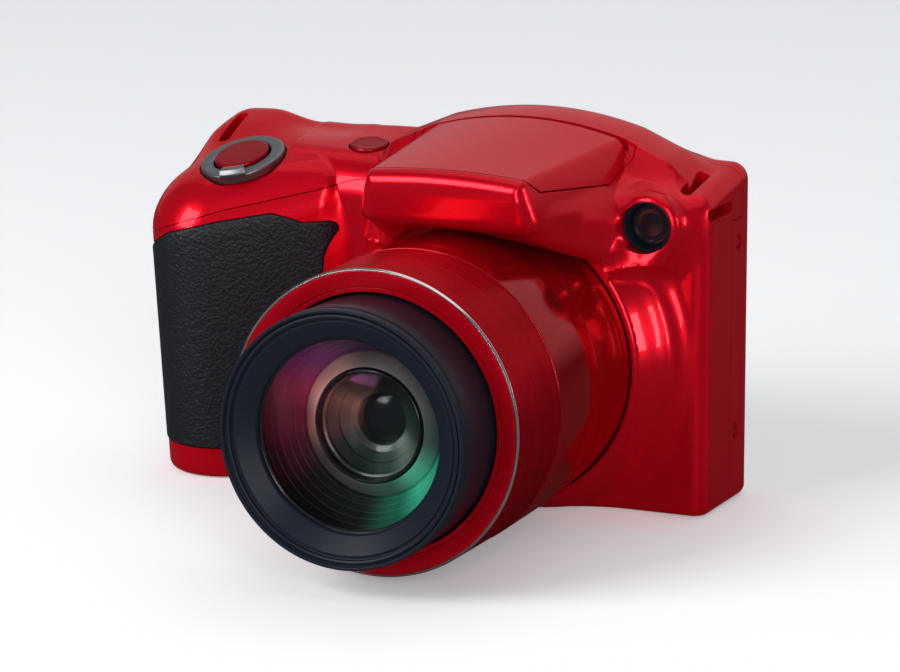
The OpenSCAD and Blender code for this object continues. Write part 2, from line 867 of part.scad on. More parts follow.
bezel_back = front_rim - 6.4;
module front_bezel() {
    r = front_bore_r - seat;
    color(satin_black)
        along_lens()
            rotate_extrude()
                polygon([[element_r + seat, bezel_back], [r, bezel_back], [r, front_rim - 0.9],
                    [r - 0.5, front_rim - 0.9], [r - 0.7, front_rim - 1.2], [element_r - 0.5, front_rim - 2.9],
                    [element_r - 0.7, front_rim - 3.2], [element_r + seat, front_rim - 3.2]]);
}

element_dome_r = 46;
module front_element() {
    apex = front_rim - 1.6;
    color(dark_glass)
        intersection() {
            along_lens()
                translate([0, 0, apex - element_dome_r])
                    sphere(r = element_dome_r);
            disc(element_r, bezel_back, front_rim - 3.3);
        }
}

baffle_back = bezel_back - 10.5;
second_r = 8.6;
module inner_baffle() {
    r = front_bore_r - seat;
    color(soft_black)
        along_lens()
            rotate_extrude()
                polygon([[second_r - 0.6, baffle_back], [r, baffle_back], [r, bezel_back - seat],
                    [element_r - 1.2, bezel_back - seat], [element_r - 2.6, bezel_back - 2.4],
                    [element_r - 4.2, bezel_back - 2.8], [element_r - 5, bezel_back - 5],
                    [element_r - 7, bezel_back - 5.5], [second_r + seat, bezel_back - 7.2],
                    [second_r + seat, baffle_back + 1.4], [second_r - 0.6, baffle_back + 1.2]]);
}

module second_element() {
    front = bezel_back - 7.4;
    color(dark_glass)
        intersection() {
            along_lens()
                translate([0, 0, front - 20])
                    sphere(r = 20, $fn = 160);
            disc(second_r, baffle_back + 1.5, front);
        }
}

module rear_element() {
    color(dark_glass)
        intersection() {
            disc(9.5, 0.4, 6);
            along_lens()
                translate([0, 0, 6 - 24])
                    sphere(r = 24);
        }
}

module image_sensor() {
    color(board_green)
        translate([-11, base_rear + layer_gap, lens_z - 9])
            cube([22, sensor_t, 18]);
}

// Lamp beside the lens
module lamp_bezel() {
    color(satin_black)
        translate([lamp_x, -lamp_front, lamp_z])
            rotate([-90, 0, 0])
                rotate_extrude()
                    polygon([[lamp_r + 0.1, 0.1], [lamp_r + 0.7, -0.1], [lamp_r + 0.7, 6], [lamp_r - 1, 6],
                        [lamp_r - 1, 3.6], [lamp_r + seat, 3.4], [lamp_r + seat, 1.4]]);
}

module lamp_window() {
    color(dark_glass)
        translate([lamp_x, -lamp_front + 1.6, lamp_z])
            rotate([-90, 0, 0])
                cylinder(r = lamp_r, h = 1.7);
}

// Top controls
lever_t = 1.9;
module zoom_lever() {
    bore = shutter_r + play;
    color(gunmetal)
        at_shutter()
            union() {
                difference() {
                    translate([0, 0, -0.9])
                        cylinder(r = lever_r, h = lever_t);
                    translate([0, 0, -0.9 - over])
                        cylinder(r = bore, h = lever_t + 2 * over);
                }
                translate([-2.6, -lever_r - 0.6, 0.4])
                    cube([5.2, lever_r - bore - 0.2, lever_t - 0.7]);
                difference() {
                    translate([0, 0, -0.9])
                        cylinder(r = bore + 0.5, h = 0.6);
                    translate([0, 0, -0.9 - over])
                        cylinder(r = 2.2 + play, h = 3);
                }
            }
}

module shutter_button() {
    color(candy_red)
        at_shutter()
            union() {
                translate([0, 0, -0.3 + shutter_travel + play])
                    cylinder(r = shutter_r, h = 0.9);
                translate([0, 0, -5])
                    cylinder(r = 2.2, h = 5.2 + shutter_travel);
            }
}

module power_button() {
    color(candy_red)
        at_power()
            translate([0, 0, -3.4])
                cylinder(r = power_r, h = 3.4 + button_travel);
}

// Lift-up flash
module flash_lid() {
    color(candy_red)
        intersection() {
            difference() {
                hump_chain(lid_sections, 0, 0);
                hump_chain(lid_inside, lid_t, 0);
                translate([-lid_lug_half - play, lid_hinge_y, lid_hinge_z])
                    rotate([0, 90, 0])
                        cylinder(r = lid_knuckle_r + play, h = 2 * (lid_lug_half + play));
            }
            lid_space(0, -lid_back);
        }
}

// The frame under the lid carries the lamp and turns on the pin
frame_top = nose_z - lid_t - 0.9;
module flash_frame() {
    color(soft_black)
        difference() {
            union() {
                translate([-lid_knuckle_half, lid_hinge_y, lid_hinge_z])
                    rotate([0, 90, 0])
                        cylinder(r = lid_knuckle_r, h = 2 * lid_knuckle_half);
                rotate([90, 0, 90])
                    translate([0, 0, -lid_knuckle_half])
                        linear_extrude(height = 2 * lid_knuckle_half)
                            polygon([[lid_hinge_y, lid_hinge_z - 0.9], [lid_hinge_y, lid_hinge_z + 0.6],
                                [-flash_front + 6, frame_top], [-flash_front + 6, frame_top - 1.4]]);
                translate([-flash_half, -flash_front, frame_top - 4.2])
                    cube([2 * flash_half, 6.4, 4.2]);
            }
            translate([-lid_knuckle_half - over, lid_hinge_y, lid_hinge_z])
                rotate([0, 90, 0])
                    cylinder(r = lid_pin_r + 0.05, h = 2 * lid_knuckle_half + 2 * over);
            translate([-flash_half + 1, -flash_front - over, frame_top - 3.6])
                cube([2 * flash_half - 2, 5.4 + over, 3]);
        }
}

module flash_window() {
    color([0.85, 0.87, 0.9])
        translate([-flash_half + 1 + seat, -flash_front + 0.1, frame_top - 3.6 + seat])
            cube([2 * (flash_half - 1 - seat), 0.9, 3 - 2 * seat]);
}

module flash_reflector() {
    color(bare_metal)
        translate([-flash_half + 1 + seat, -flash_front + 1.2, frame_top - 2.1])
            rotate([90, 0, 90])
                linear_extrude(height = 2 * (flash_half - 1 - seat))
                    polygon([[0, -1.4], [0, -1.1], [2.4, -0.75], [2.4, 0.75], [0, 1.1], [0, 1.4], [3, 1.1], [3, -1.1]]);
}

module flash_tube() {
    color([0.9, 0.9, 0.92])
        translate([-flash_half + 2, -flash_front + 2.8, frame_top - 2.1])
            rotate([0, 90, 0])
                cylinder(r = 0.65, h = 2 * flash_half - 4);
}

module flash_pin() {
    color(bare_metal)
        translate([-lid_lug_half, lid_hinge_y, lid_hinge_z])
            rotate([0, 90, 0])
                cylinder(r = lid_pin_r, h = 2 * lid_lug_half);
}

capacitor_r = grip_r - 6.2;
capacitor_len = battery_h - 10.2;
module flash_capacitor() {
    color(soft_black)
        translate([grip_r - grip_x + 1.5, grip_r - grip_front - 1.2, wall + 3])
            cylinder(r = capacitor_r, h = capacitor_len);
}

// Inside frame, board and display
module chassis() {
    color(bare_metal)
        union() {
            translate([-hump_side_x - 4, chassis_y, wall + 1])
                cube([hump_side_x + side_x - wall + 1, chassis_t, deck_z - wall - 10]);
            translate([-7, -6.5, wall + 0.3])
                difference() {
                    cube([14, chassis_y + 6.5 + chassis_t, 0.9]);
                    translate([7, 6.5, -over])
                        cylinder(r = socket_r + 1.8, h = 3);
                }
        }
}

module main_board() {
    color(board_green)
        translate([-hump_side_x - 3, board_y, wall + 2])
            cube([hump_side_x + side_x - wall - 2, board_t, deck_z - wall - 13]);
}

module display_panel() {
    color(soft_black)
        translate([window_x - window_w / 2 + 1, panel_y, window_z - window_h / 2 + 1])
            cube([window_w - 2, panel_t, window_h - 2]);
}

module display_window() {
    color(dark_glass)
        translate([window_x - window_w / 2, window_y, window_z - window_h / 2])
            cube([window_w, window_t, window_h]);
}

// Rear controls, each a cap in its hole
module key(place) {
    color(soft_black)
        at_rear(place, body_back + key_proud - key_len)
            cylinder(r = key_r, h = key_len);
}

module movie_button() { key(movie_place); }
module play_button() { key(play_place); }
module menu_button() { key(menu_place); }
module help_button() { key(help_place); }

module four_way_pad() {
    color(soft_black)
        at_rear(pad_place, body_back + pad_proud - key_len)
            difference() {
                cylinder(r = pad_r, h = key_len);
                translate([0, 0, -over])
                    cylinder(r = set_r + play, h = key_len + 2 * over);
            }
}

module set_button() {
    color(soft_black)
        at_rear(pad_place, body_back + key_proud - key_len)
            cylinder(r = set_r, h = key_len);
}

// Battery compartment
module battery_box() {
    inner = [battery_w + 2 * box_gap, battery_t + 2 * box_gap, battery_h + box_gap];
    card_space = [card_w + 2 * box_gap, card_t + 2 * box_gap, card_h + box_gap];
    color(soft_black)
        difference() {
            translate([battery_x - inner[0] / 2 - box_t, battery_y - inner[1] / 2 - box_t, battery_z + 0.2])
                cube([inner[0] + 2 * box_t, inner[1] + card_space[1] + 3 * box_t, inner[2] + box_t - 0.2]);
            translate([battery_x - inner[0] / 2, battery_y - inner[1] / 2, battery_z - over])
                cube([inner[0], inner[1], inner[2] + over]);
            translate([battery_x - card_space[0] / 2, card_y - card_space[1] / 2, battery_z - over])
                cube([card_space[0], card_space[1], card_space[2] + over]);
        }
}

module battery() {
    color([0.3, 0.31, 0.33])
        translate([battery_x - battery_w / 2, battery_y - battery_t / 2, battery_z])
            cube([battery_w, battery_t, battery_h]);
}

module memory_card() {
    color(soft_black)
        translate([battery_x, card_y - card_t / 2, battery_z])
            rotate([90, 0, 0])
                mirror([0, 0, 1])
                    linear_extrude(height = card_t)
                        polygon([[-card_w / 2, 0], [card_w / 2, 0], [card_w / 2, card_h - 4],
                            [card_w / 2 - 4, card_h], [-card_w / 2, card_h]]);
}

// The catch slides on the front of the box and hooks under the battery
catch_y = battery_y - battery_t / 2 - box_gap - box_t - play;
catch_t = 1.3;
module battery_catch() {
    color([0.85, 0.35, 0.08])
        translate([battery_x - 3, catch_y, battery_z])
            rotate([90, 0, 90])
                linear_extrude(height = 6)
                    polygon([[-catch_t, -0.8], [play + box_t + 0.9, -0.8], [play + box_t + 0.9, -0.1], [0, -0.1],
                        [0, 6], [-catch_t, 6]]);
}

module battery_door() {
    pin_clear = 0.05;
    color(candy_red)
        difference() {
            union() {
                translate([door_x0, door_y0, 0])
                    cube([door_x1 - door_x0, door_hinge_y - door_y0, door_t]);
                translate([door_x0, door_hinge_y, door_hinge_z])
                    rotate([0, 90, 0])
                        cylinder(r = door_knuckle_r, h = door_x1 - door_x0);
            }
            translate([door_x0 - over, door_hinge_y, door_hinge_z])
                rotate([0, 90, 0])
                    cylinder(r = door_pin_r + pin_clear, h = door_x1 - door_x0 + 2 * over);
        }
}

module door_pin() {
    color(bare_metal)
        translate([door_x0 - play - door_pin_end, door_hinge_y, door_hinge_z])
            rotate([0, 90, 0])
                cylinder(r = door_pin_r, h = door_x1 - door_x0 + 2 * (play + door_pin_end));
}

// Terminal flap in the flat side of the grip, which runs between two plan circles and leans in towards the foot
function mix(a, b, t) = a + (b - a) * t;
function side_normal(p) = let (d = p[1] - p[0], l = norm([d[0], d[1]]), k = (p[0][2] - p[1][2]) / l)
    (k * [d[0], d[1]] + sqrt(1 - k * k) * [-d[1], d[0]]) / l;
flap_side = [for (i = [0, 1]) mix(grip_foot_plan[i], grip_plan[i], (flap_z + flap_h / 2) / (deck_z - 9))];
flap_normal = side_normal(flap_side);
flap_root = [flap_side[1][0], flap_side[1][1]] + flap_side[1][2] * flap_normal
    - (flap_w / 2 + 1) * [flap_normal[1], -flap_normal[0]];
flap_lean = atan(grip_taper * 0.55 / (deck_z - 9));
module at_flap() {
    translate([flap_root[0], flap_root[1], flap_z + flap_h / 2])
        rotate([0, 0, atan2(-flap_normal[1], -flap_normal[0])])
            rotate([0, -flap_lean, 0])
                translate([0, 0, -flap_h / 2])
                    children();
}

// In this frame -X points out of the side, and Y runs back along it
module flap_pocket() {
    translate([-over - 2, -flap_w / 2 - play, -play])
        cube([flap_t + over + 2 + play, flap_w + 2 * play, flap_h + 2 * play]);
    translate([0, -flap_w / 2 + 2, 2])
        cube([8, flap_w - 4, flap_h - 4]);
    translate([flap_t / 2, flap_w / 2 - flap_t / 2, -play - flap_pin_end - seat])
        cylinder(r = flap_pin_r + seat, h = flap_h + 2 * (play + flap_pin_end + seat), $fn = 24);
}

module terminal_flap() {
    color(candy_red)
        at_flap()
            difference() {
                cube_flap();
                translate([flap_t / 2, flap_w / 2 - flap_t / 2, -over])
                    cylinder(r = flap_pin_r + 0.05, h = flap_h + 2 * over);
            }
}

module cube_flap() {
    translate([0, -flap_w / 2, 0])
        cube([flap_t, flap_w - flap_t / 2, flap_h]);
    translate([flap_t / 2, flap_w / 2 - flap_t / 2, 0])
        cylinder(r = flap_t / 2, h = flap_h);
}

module terminal_pin() {
    color(bare_metal)
        at_flap()
            translate([flap_t / 2, flap_w / 2 - flap_t / 2, -play - flap_pin_end])
                cylinder(r = flap_pin_r, h = flap_h + 2 * (play + flap_pin_end));
}

module terminal_socket() {
    color(bare_metal)
        at_flap()
            translate([flap_t + play, -flap_w / 2 + 2.4, 4])
                difference() {
                    cube([1.5, flap_w - 4.8, 8]);
                    translate([-over, 0.6, 0.6])
                        cube([2.2, flap_w - 6, 6.8]);
                }
}

// Base hardware
module tripod_socket() {
    color(bare_metal)
        difference() {
            union() {
                cylinder(r = socket_flange_r, h = socket_flange_t);
                cylinder(r = socket_r + 1.5, h = socket_depth + 1);
            }
            translate([0, 0, -over])
                cylinder(r = socket_r, h = socket_depth + over);
        }
}

module side_screws() {
    color(gunmetal)
        side_screw_places() screw();
}

module base_screws() {
    color(gunmetal)
        base_screw_places() screw();
}

front_cover();
rear_cover();
top_cover();
grip_rubber();
lens_base();
gloss_barrel();
brushed_ring();
face_ring();
cam_ring();
middle_barrel();
front_barrel();
front_bezel();
front_element();
inner_baffle();
second_element();
rear_element();
image_sensor();
lamp_bezel();
lamp_window();
zoom_lever();
shutter_button();
power_button();
flash_lid();
flash_frame();
flash_window();
flash_reflector();
flash_tube();
flash_pin();
flash_capacitor();
chassis();
main_board();
display_panel();
display_window();
movie_button();
play_button();
menu_button();
help_button();
four_way_pad();
set_button();
battery_box();
battery();
battery_catch();
memory_card();
battery_door();
door_pin();
terminal_flap();
terminal_pin();
terminal_socket();
tripod_socket();
side_screws();
base_screws();
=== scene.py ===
"""Looks for the bridge camera: smooth moulded covers, turned lens parts, paints, rubber and glass.

The covers are drawn as one smooth form in millimetres, meshed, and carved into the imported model's pieces.
"""
import math

import bmesh
import bpy
import numpy as np
import openvdb
from mathutils import Matrix, Vector


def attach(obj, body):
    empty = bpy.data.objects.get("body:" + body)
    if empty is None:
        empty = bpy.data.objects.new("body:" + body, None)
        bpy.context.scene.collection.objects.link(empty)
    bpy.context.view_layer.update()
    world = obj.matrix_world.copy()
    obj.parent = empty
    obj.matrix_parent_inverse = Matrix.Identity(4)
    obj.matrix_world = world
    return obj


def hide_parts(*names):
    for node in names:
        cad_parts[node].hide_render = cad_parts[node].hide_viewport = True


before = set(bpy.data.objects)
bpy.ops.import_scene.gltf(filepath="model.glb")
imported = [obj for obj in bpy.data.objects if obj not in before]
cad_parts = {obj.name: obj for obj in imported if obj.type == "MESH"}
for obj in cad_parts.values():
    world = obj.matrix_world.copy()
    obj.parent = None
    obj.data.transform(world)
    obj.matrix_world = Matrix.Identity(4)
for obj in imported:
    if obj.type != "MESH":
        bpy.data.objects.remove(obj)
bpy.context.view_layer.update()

MM = 0.001
LENS_Z = 26.9
STEP = 0.5
WALL = 2.2
SEAM = 0.16

# The plain side, the front and the back of the body
SIDE_X = 34.8
BODY_FRONT = 9.5
BODY_BACK = 13.5
# Sloping tops: a point on each and its rise along X and Y
DECK = ((-34, 11, 61), (-0.023, 0.185))
GRIP_TOP = ((-53.5, -8, 55.8), (0.128, 0.34))
LAMP = (25.6, 51.3)
LAMP_FRONT = -14.1
# Fronts of the nose and of the crest behind the lid, and where the crest is highest
NOSE_FRONT = -42
BAND_FRONT = -5.4
CREST = (3, 67.45)
# Where the grip ends beside the lens, how far its rubber stands proud, and the rubber's thickness
GRIP_END = -33.5
RUBBER_PROUD = 0.25
RUBBER_DEEP = 1.15
# Play round the door and the flap, play round the lid, and the lid's rear edge
PLAY = 0.3
LID_PLAY = 0.25
LID_BACK = -5.2
# Boxes that hold the whole body and the grip
FORM_BOX = ((-74, -46, -3), (39, 17, 72))
GRIP_BOX = ((-74, -26, 2), (-28, 0, 52))


# Distances to simple shapes, and rounded joins of them
def meet(a, b, r):
    """Where both shapes are, with the edge rounded."""
    return np.minimum(np.maximum(a, b), -r) + np.hypot(np.maximum(a + r, 0), np.maximum(b + r, 0))


def corner(a, b, r, cosine):
    """Where both of two flat-sided shapes are; cosine is that of the angle between their outward faces."""
    u, v = a + r, b + r
    across = np.sqrt(np.maximum(u * u + v * v - 2 * cosine * u * v, 0) / (1 - cosine * cosine))
    return np.where((u > cosine * v) & (v > cosine * u), across, np.maximum(u, v)) - r


def join(a, b, r):
    """Where either shape is, with the inner corner filled."""
    return np.maximum(np.minimum(a, b), r) - np.hypot(np.maximum(r - a, 0), np.maximum(r - b, 0))


def above(plane, x, y, z):
    """Distance above a sloping top."""
    (px, py, pz), (sx, sy) = plane
    return (z - pz - sx * (x - px) - sy * (y - py)) / math.sqrt(1 + sx * sx + sy * sy)


def smooth(value, low, high):
    """Goes from 0 at low to 1 at high with soft ends."""
    t = np.clip((value - low) / (high - low), 0, 1)
    return t * t * (3 - 2 * t)


def glide(value, at, through):
    """A smooth curve through points, level beyond the ends."""
    at, through = np.array(at, float), np.array(through, float)
    slopes = np.gradient(through, at)
    slopes[[0, -1]] = 0
    k = np.clip(np.searchsorted(at, value) - 1, 0, len(at) - 2)
    span = at[k + 1] - at[k]
    t = np.clip((value - at[k]) / span, 0, 1)
    rise = through[k + 1] - through[k]
    a = slopes[k] * span - rise
    b = rise - slopes[k + 1] * span
    return through[k] + t * rise + t * (1 - t) * ((1 - t) * a + t * b)


def deck(x, y, z):
    """Distance above the deck, which dips beside the shutter button and swells behind it."""
    at = [20, 27, 34, 41, 45, 48.6, 52, 56, 60]
    swell = glide(-x, at, [-0.3, -0.1, -0.35, -0.95, -1, -0.9, -0.2, 0.86, 1])
    return above(DECK, x, y, z) - swell * smooth(y, -2, 8)


def main_form(x, y, z):
    """The plain block of the body; its front edge rolls over more beside the grip."""
    d = meet(x - SIDE_X, -BODY_FRONT - y, 3)
    d = meet(d, deck(x, y, z), np.interp(x, [-28, -12], [6.5, 3.2]))
    return np.maximum(d, -46 - x)


def grip_form(x, y, z):
    """The grip, whose sides draw in towards the base and whose top slopes to the front."""
    lean = np.maximum(46 - z, 0)
    left = -0.972 * (x + 68.83) + 0.235 * (y + 8.41) + 0.033 * lean
    face = 0.398 * (x + 57.6) - 0.917 * (y + 21) + 0.025 * lean
    d = corner(left, face, 10, -0.602)
    d = meet(d, x - GRIP_END, 3.5)
    slope = above(GRIP_TOP, x, y, z) - 0.9 * smooth(y, -4, 6)
    return meet(d, meet(slope, deck(x, y, z), 2.5), np.interp(y, [-6, 3], [8, 3.5]))


def lid_form(x, y, z):
    """The sloping flash lid and the nose under it."""
    t = np.clip((y - NOSE_FRONT) / (LID_BACK - NOSE_FRONT), -0.1, 1.2)
    half = 14 + 3.5 * t
    sag = 0.7 + 1.9 * t
    crown = 63.4 + 3.5 * t
    ax = np.abs(x)
    top = (z - crown + sag * (x / half) ** 2) / 1.02
    side = 0.93 * (ax - half) + 0.37 * (z - crown + sag)
    d = meet(top, side, 0.8)
    nose = meet(NOSE_FRONT - y + 0.2 * np.maximum(59.5 - z, 0), ax - 16.3 - 4.6 * t, 3.5)
    d = meet(d, nose, 2.2)
    return np.maximum(meet(d, 53.6 - z, 2.5), y + 3)


def band_form(x, y, z):
    """The crest behind the lid, which runs down to the shoulders and to the back."""
    ax = np.abs(x)
    bow = np.where(ax < 17.5, 0.0083 * ax * ax, 2.54 + 0.427 * (ax - 17.5))
    behind = y - CREST[0]
    bend = np.where(behind < 0, 0.0085, 0.075)
    rise = z - CREST[1] + bend * behind ** 2 + bow
    top = rise / np.sqrt(1.1 + (2 * bend * behind) ** 2)
    # The front is upright behind the lid and slopes down to the shoulder beside it
    front = 0.75 * (BAND_FRONT - y) + 0.66 * (rise + 0.6)
    front = np.maximum(front, BAND_FRONT - y - 20 * smooth(ax, 18.5, 20.5))
    d = meet(np.maximum(top, front), ax - 28, 3)
    return np.maximum(d, 45 - z)


def hood_form(x, y, z):
    """The cheeks between the nose, the lamp and the collar."""
    at = [-40, -36, -25, -14, -9.5, -4]
    half = glide(y, at, [14.4, 16.0, 18.8, 23.5, 27, 30])
    low = glide(y, at, [54, 52, 47.5, 43, 40.5, 38])
    high = glide(y, at, [57.5, 58.6, 58.4, 58, 58.4, 53.5])
    ax = np.abs(x)
    side = (ax - half) * 0.9
    d = meet(side, (z - high + 0.36 * np.maximum(ax - 16, 0)) * 0.94, 4)
    d = meet(d, (low - z) * 0.9, 2.5)
    d = meet(d, -40 - y, 2)
    return np.maximum(d, y + 3)


def around_lens(x, z):
    """Distance from the lens axis."""
    return np.hypot(x, z - LENS_Z)


def collar_form(x, y, z):
    """The ring that flares from the barrel to the front."""
    at = [-18.6, -18, -16.5, -14, -11.5, -9.5, -6]
    flare = glide(y, at, [25.7, 26.0, 26.8, 28.3, 29.4, 29.9, 30])
    d = meet((around_lens(x, z) - flare) * 0.86, -18.5 - y, 0.5)
    return np.maximum(d, y + 2)


def nacelle_form(x, y, z):
    """The tube round the lamp, which dives under the shoulder behind it."""
    dive = 0.35 * np.maximum(y + 12, 0)
    r = np.hypot(x - LAMP[0], z - LAMP[1] + dive)
    flare = 5.3 + 0.22 * np.minimum(y - LAMP_FRONT, 4.6)
    return np.maximum(meet(r - flare, LAMP_FRONT - y, 1.1), y - 4)


def body_form(x, y, z):
    """All of the outside, without the bore for the lens."""
    d = join(main_form(x, y, z), grip_form(x, y, z), np.interp(z, [44, 53], [4, 0.3]))
    d = join(d, hood_form(x, y, z), 3.5)
    d = join(d, nacelle_form(x, y, z), 3.5)
    d = join(d, collar_form(x, y, z), 3)
    fill = np.interp(x, [-20, -10], [1, 3.5])
    d = np.minimum(join(d, band_form(x, y, z), fill), join(d, lid_form(x, y, z), 1.2))
    d = meet(d, y - BODY_BACK, 4.5)
    return meet(d, -z, 1.6)


def body_hollow(x, y, z):
    """The inside of the covers, with the well under the flash lid."""
    d = np.minimum(main_form(x, y, z), grip_form(x, y, z))
    band = np.maximum(band_form(x, y, z), -2 - y)
    well = np.maximum(np.maximum(lid_form(x, y, z), -38 - y), 57 - z)
    d = np.minimum(np.minimum(d, band), well)
    return np.maximum(np.maximum(d, y - BODY_BACK), -z) + WALL


def rubber_form(x, y, z):
    """The rubber on the grip, a layer a little proud of it."""
    skin = grip_form(x, y, z)
    outline = outline_distance(RUBBER, x, z)
    d = meet(skin - RUBBER_PROUD, outline, 0.5)
    return np.maximum(np.maximum(d, -skin - RUBBER_DEEP), y + 5.8)


RUBBER = np.array([(-80, 5.5), (-36, 5.5), (-36.3, 37.8), (-36.1, 40.4), (-35.3, 42.7), (-33.7, 45.4),
    (-34.1, 46.4), (-35.2, 46.8), (-39.5, 46.5), (-42, 47.4), (-44.6, 48.1), (-53.5, 46.5), (-62, 44.3),
    (-67.2, 41.2), (-80, 34)])


def outline_distance(points, u, v):
    """Signed distance to a closed outline, negative inside."""
    best = np.full(u.shape, 1e9)
    inside = np.zeros(u.shape, bool)
    for (ax, ay), (bx, by) in zip(points, np.roll(points, -1, axis=0)):
        ex, ey = bx - ax, by - ay
        t = np.clip(((u - ax) * ex + (v - ay) * ey) / (ex * ex + ey * ey), 0, 1)
        best = np.minimum(best, np.hypot(u - ax - t * ex, v - ay - t * ey))
        if ay != by:
            inside ^= ((ay > v) != (by > v)) & (u < ex * (v - ay) / (by - ay) + ax)
    return np.where(inside, -best, best)


# Meshes from those shapes
def slope_of(field, p):
    """How a shape's distance changes along X, Y and Z at each point."""
    e = 0.05
    out = np.empty_like(p)
    for k in range(3):
        d = np.zeros(3)
        d[k] = e
        out[:, k] = (field(*(p + d).T) - field(*(p - d).T)) / (2 * e)
    return out


def level_mesh(field, low, high, step):
    """Points on a shape's surface and the quads between them, in millimetres."""
    axes = [np.arange(a, b + step, step) for a, b in zip(low, high)]
    values = field(*np.meshgrid(*axes, indexing="ij"))
    grid = openvdb.FloatGrid(9.0)
    grid.copyFromArray(np.clip(values, -9, 9).astype(np.float32))
    points, quads = grid.convertToQuads(0.0)
    points = points * step + np.array(low)
    for _ in range(3):
        slope = slope_of(field, points)
        square = np.maximum((slope * slope).sum(1), 0.2)
        move = slope * (field(*points.T) / square)[:, None]
        points -= np.clip(move, -0.4 * step, 0.4 * step)
    return points, quads


def new_object(name, points, faces):
    mesh = bpy.data.meshes.new(name)
    mesh.from_pydata([tuple(p) for p in points], [], [tuple(f) for f in faces])
    mesh.update()
    obj = bpy.data.objects.new(name, mesh)
    bpy.context.scene.collection.objects.link(obj)
    return obj


def outward(obj):
    """Turns every face to the outside of a closed mesh."""
    bm = bmesh.new()
    bm.from_mesh(obj.data)
    bmesh.ops.recalc_face_normals(bm, faces=bm.faces)
    bm.to_mesh(obj.data)
    bm.free()
    return obj


def form_object(name, field, low, high, step):
    points, quads = level_mesh(field, low, high, step)
    return outward(new_object(name, points * MM, quads))


def prism(outline, axis, low, high):
    """A block with the given outline, drawn along X, Y or Z."""
    order = {"X": (2, 0, 1), "Y": (0, 2, 1), "Z": (0, 1, 2)}[axis]
    n = len(outline)
    points = []
    for h in (low, high):
        points += [np.array((u, v, h))[list(order)] for u, v in outline]
    sides = [(i, (i + 1) % n, n + (i + 1) % n, n + i) for i in range(n)]
    ends = [tuple(range(n)), tuple(range(n, 2 * n))]
    return outward(new_object("cutter", np.array(points) * MM, ends + sides))


def box(low, high):
    """A plain block between two corners."""
    outline = [(low[0], low[1]), (high[0], low[1]), (high[0], high[1]), (low[0], high[1])]
    return prism(outline, "Z", low[2], high[2])


def rounded(points, radius=0.15, steps=5):
    """Rounds the corners of a closed outline; a third number on a point is its own radius."""
    out = []
    for i, point in enumerate(points):
        p = np.array(point[:2], float)
        r = point[2] if len(point) > 2 else radius
        arms = [np.array(points[j % len(points)][:2]) - p for j in (i - 1, i + 1)]
        lengths = [max(np.linalg.norm(arm), 1e-9) for arm in arms]
        arms = [arm / length for arm, length in zip(arms, lengths)]
        half = math.acos(max(-1.0, min(1.0, float(arms[0] @ arms[1])))) / 2
        reach = min(r / math.tan(half), 0.45 * min(lengths)) if 0.01 < half < 1.56 else 0
        if p[0] == 0 or reach < 1e-3:
            out.append(p)
            continue
        for t in np.linspace(0, 1, steps):
            out.append(p + arms[0] * reach * (1 - t) ** 2 + arms[1] * reach * t ** 2)
    return out


def turned(name, profile, place, turns=160, arc=None):
    """A closed profile of (radius, height) turned about the Z axis of a frame, all round or over an arc."""
    n = len(profile)
    start, end = arc or (0, 2 * math.pi)
    rings = turns + 1 if arc else turns
    points = []
    for k in range(rings):
        angle = start + (end - start) * k / turns
        c, s = math.cos(angle), math.sin(angle)
        points += [place @ Vector((r * c, r * s, h)) for r, h in profile]
    faces = []
    for k in range(turns):
        a, b = k * n, (k + 1) % rings * n
        faces += [(a + i, b + i, b + (i + 1) % n, a + (i + 1) % n) for i in range(n)]
    if arc:
        faces += [tuple(range(n)), tuple(range((rings - 1) * n, rings * n))]
    obj = new_object(name, [p * MM for p in points], faces)
    bm = bmesh.new()
    bm.from_mesh(obj.data)
    bmesh.ops.remove_doubles(bm, verts=bm.verts, dist=1e-7)
    bmesh.ops.recalc_face_normals(bm, faces=bm.faces)
    bm.to_mesh(obj.data)
    bm.free()
    soften(obj)
    return obj


def slab(name, low, high, r, edge, place):
    """A plate with rounded corners and edges, from its lowest to its highest corner in a given frame."""
    corners = ((high[0], high[1]), (low[0], high[1]), (low[0], low[1]), (high[0], low[1]))
    rings = []
    for height, sign in ((low[2], 1), (high[2], -1)):
        turns = np.linspace(math.pi / 2, 0, 4) if sign > 0 else np.linspace(0, math.pi / 2, 4)
        for a in turns:
            inset = edge * (1 - math.cos(a))
            z = height + sign * edge * (1 - math.sin(a))
            outline = []
            for first, (u, v) in enumerate(corners):
                cu = u - math.copysign(r, u - low[0] - 1e-6)
                cv = v - math.copysign(r, v - low[1] - 1e-6)
                for t in np.linspace(0, math.pi / 2, 6):
                    angle = first * math.pi / 2 + t
                    across, along = (r - inset) * math.cos(angle), (r - inset) * math.sin(angle)
                    outline.append((cu + across, cv + along, z))
            rings.append(outline)
    n = len(rings[0])
    points = [place @ Vector(p) * MM for ring in rings for p in ring]
    faces = [tuple(range(n)), tuple(range((len(rings) - 1) * n, len(rings) * n))]
    for k in range(len(rings) - 1):
        a, b = k * n, (k + 1) * n
        faces += [(a + i, a + (i + 1) % n, b + (i + 1) % n, b + i) for i in range(n)]
    obj = outward(new_object(name, points, faces))
    soften(obj)
    return obj


def merge(name, parts):
    """One piece from several separate meshes."""
    bm = bmesh.new()
    for part in parts:
        bm.from_mesh(part.data)
        bpy.data.objects.remove(part)
    mesh = bpy.data.meshes.new(name)
    bm.to_mesh(mesh)
    bm.free()
    obj = bpy.data.objects.new(name, mesh)
    bpy.context.scene.collection.objects.link(obj)
    soften(obj)
    return obj


def rod(centre, direction, r, length, turns=96):
    """A round cutter that starts at its centre."""
    place = Matrix.Translation(centre) @ Vector(direction).to_track_quat("Z", "Y").to_matrix().to_4x4()
    return turned("cutter", [(0, 0), (r, 0), (r, length), (0, length)], place, turns)


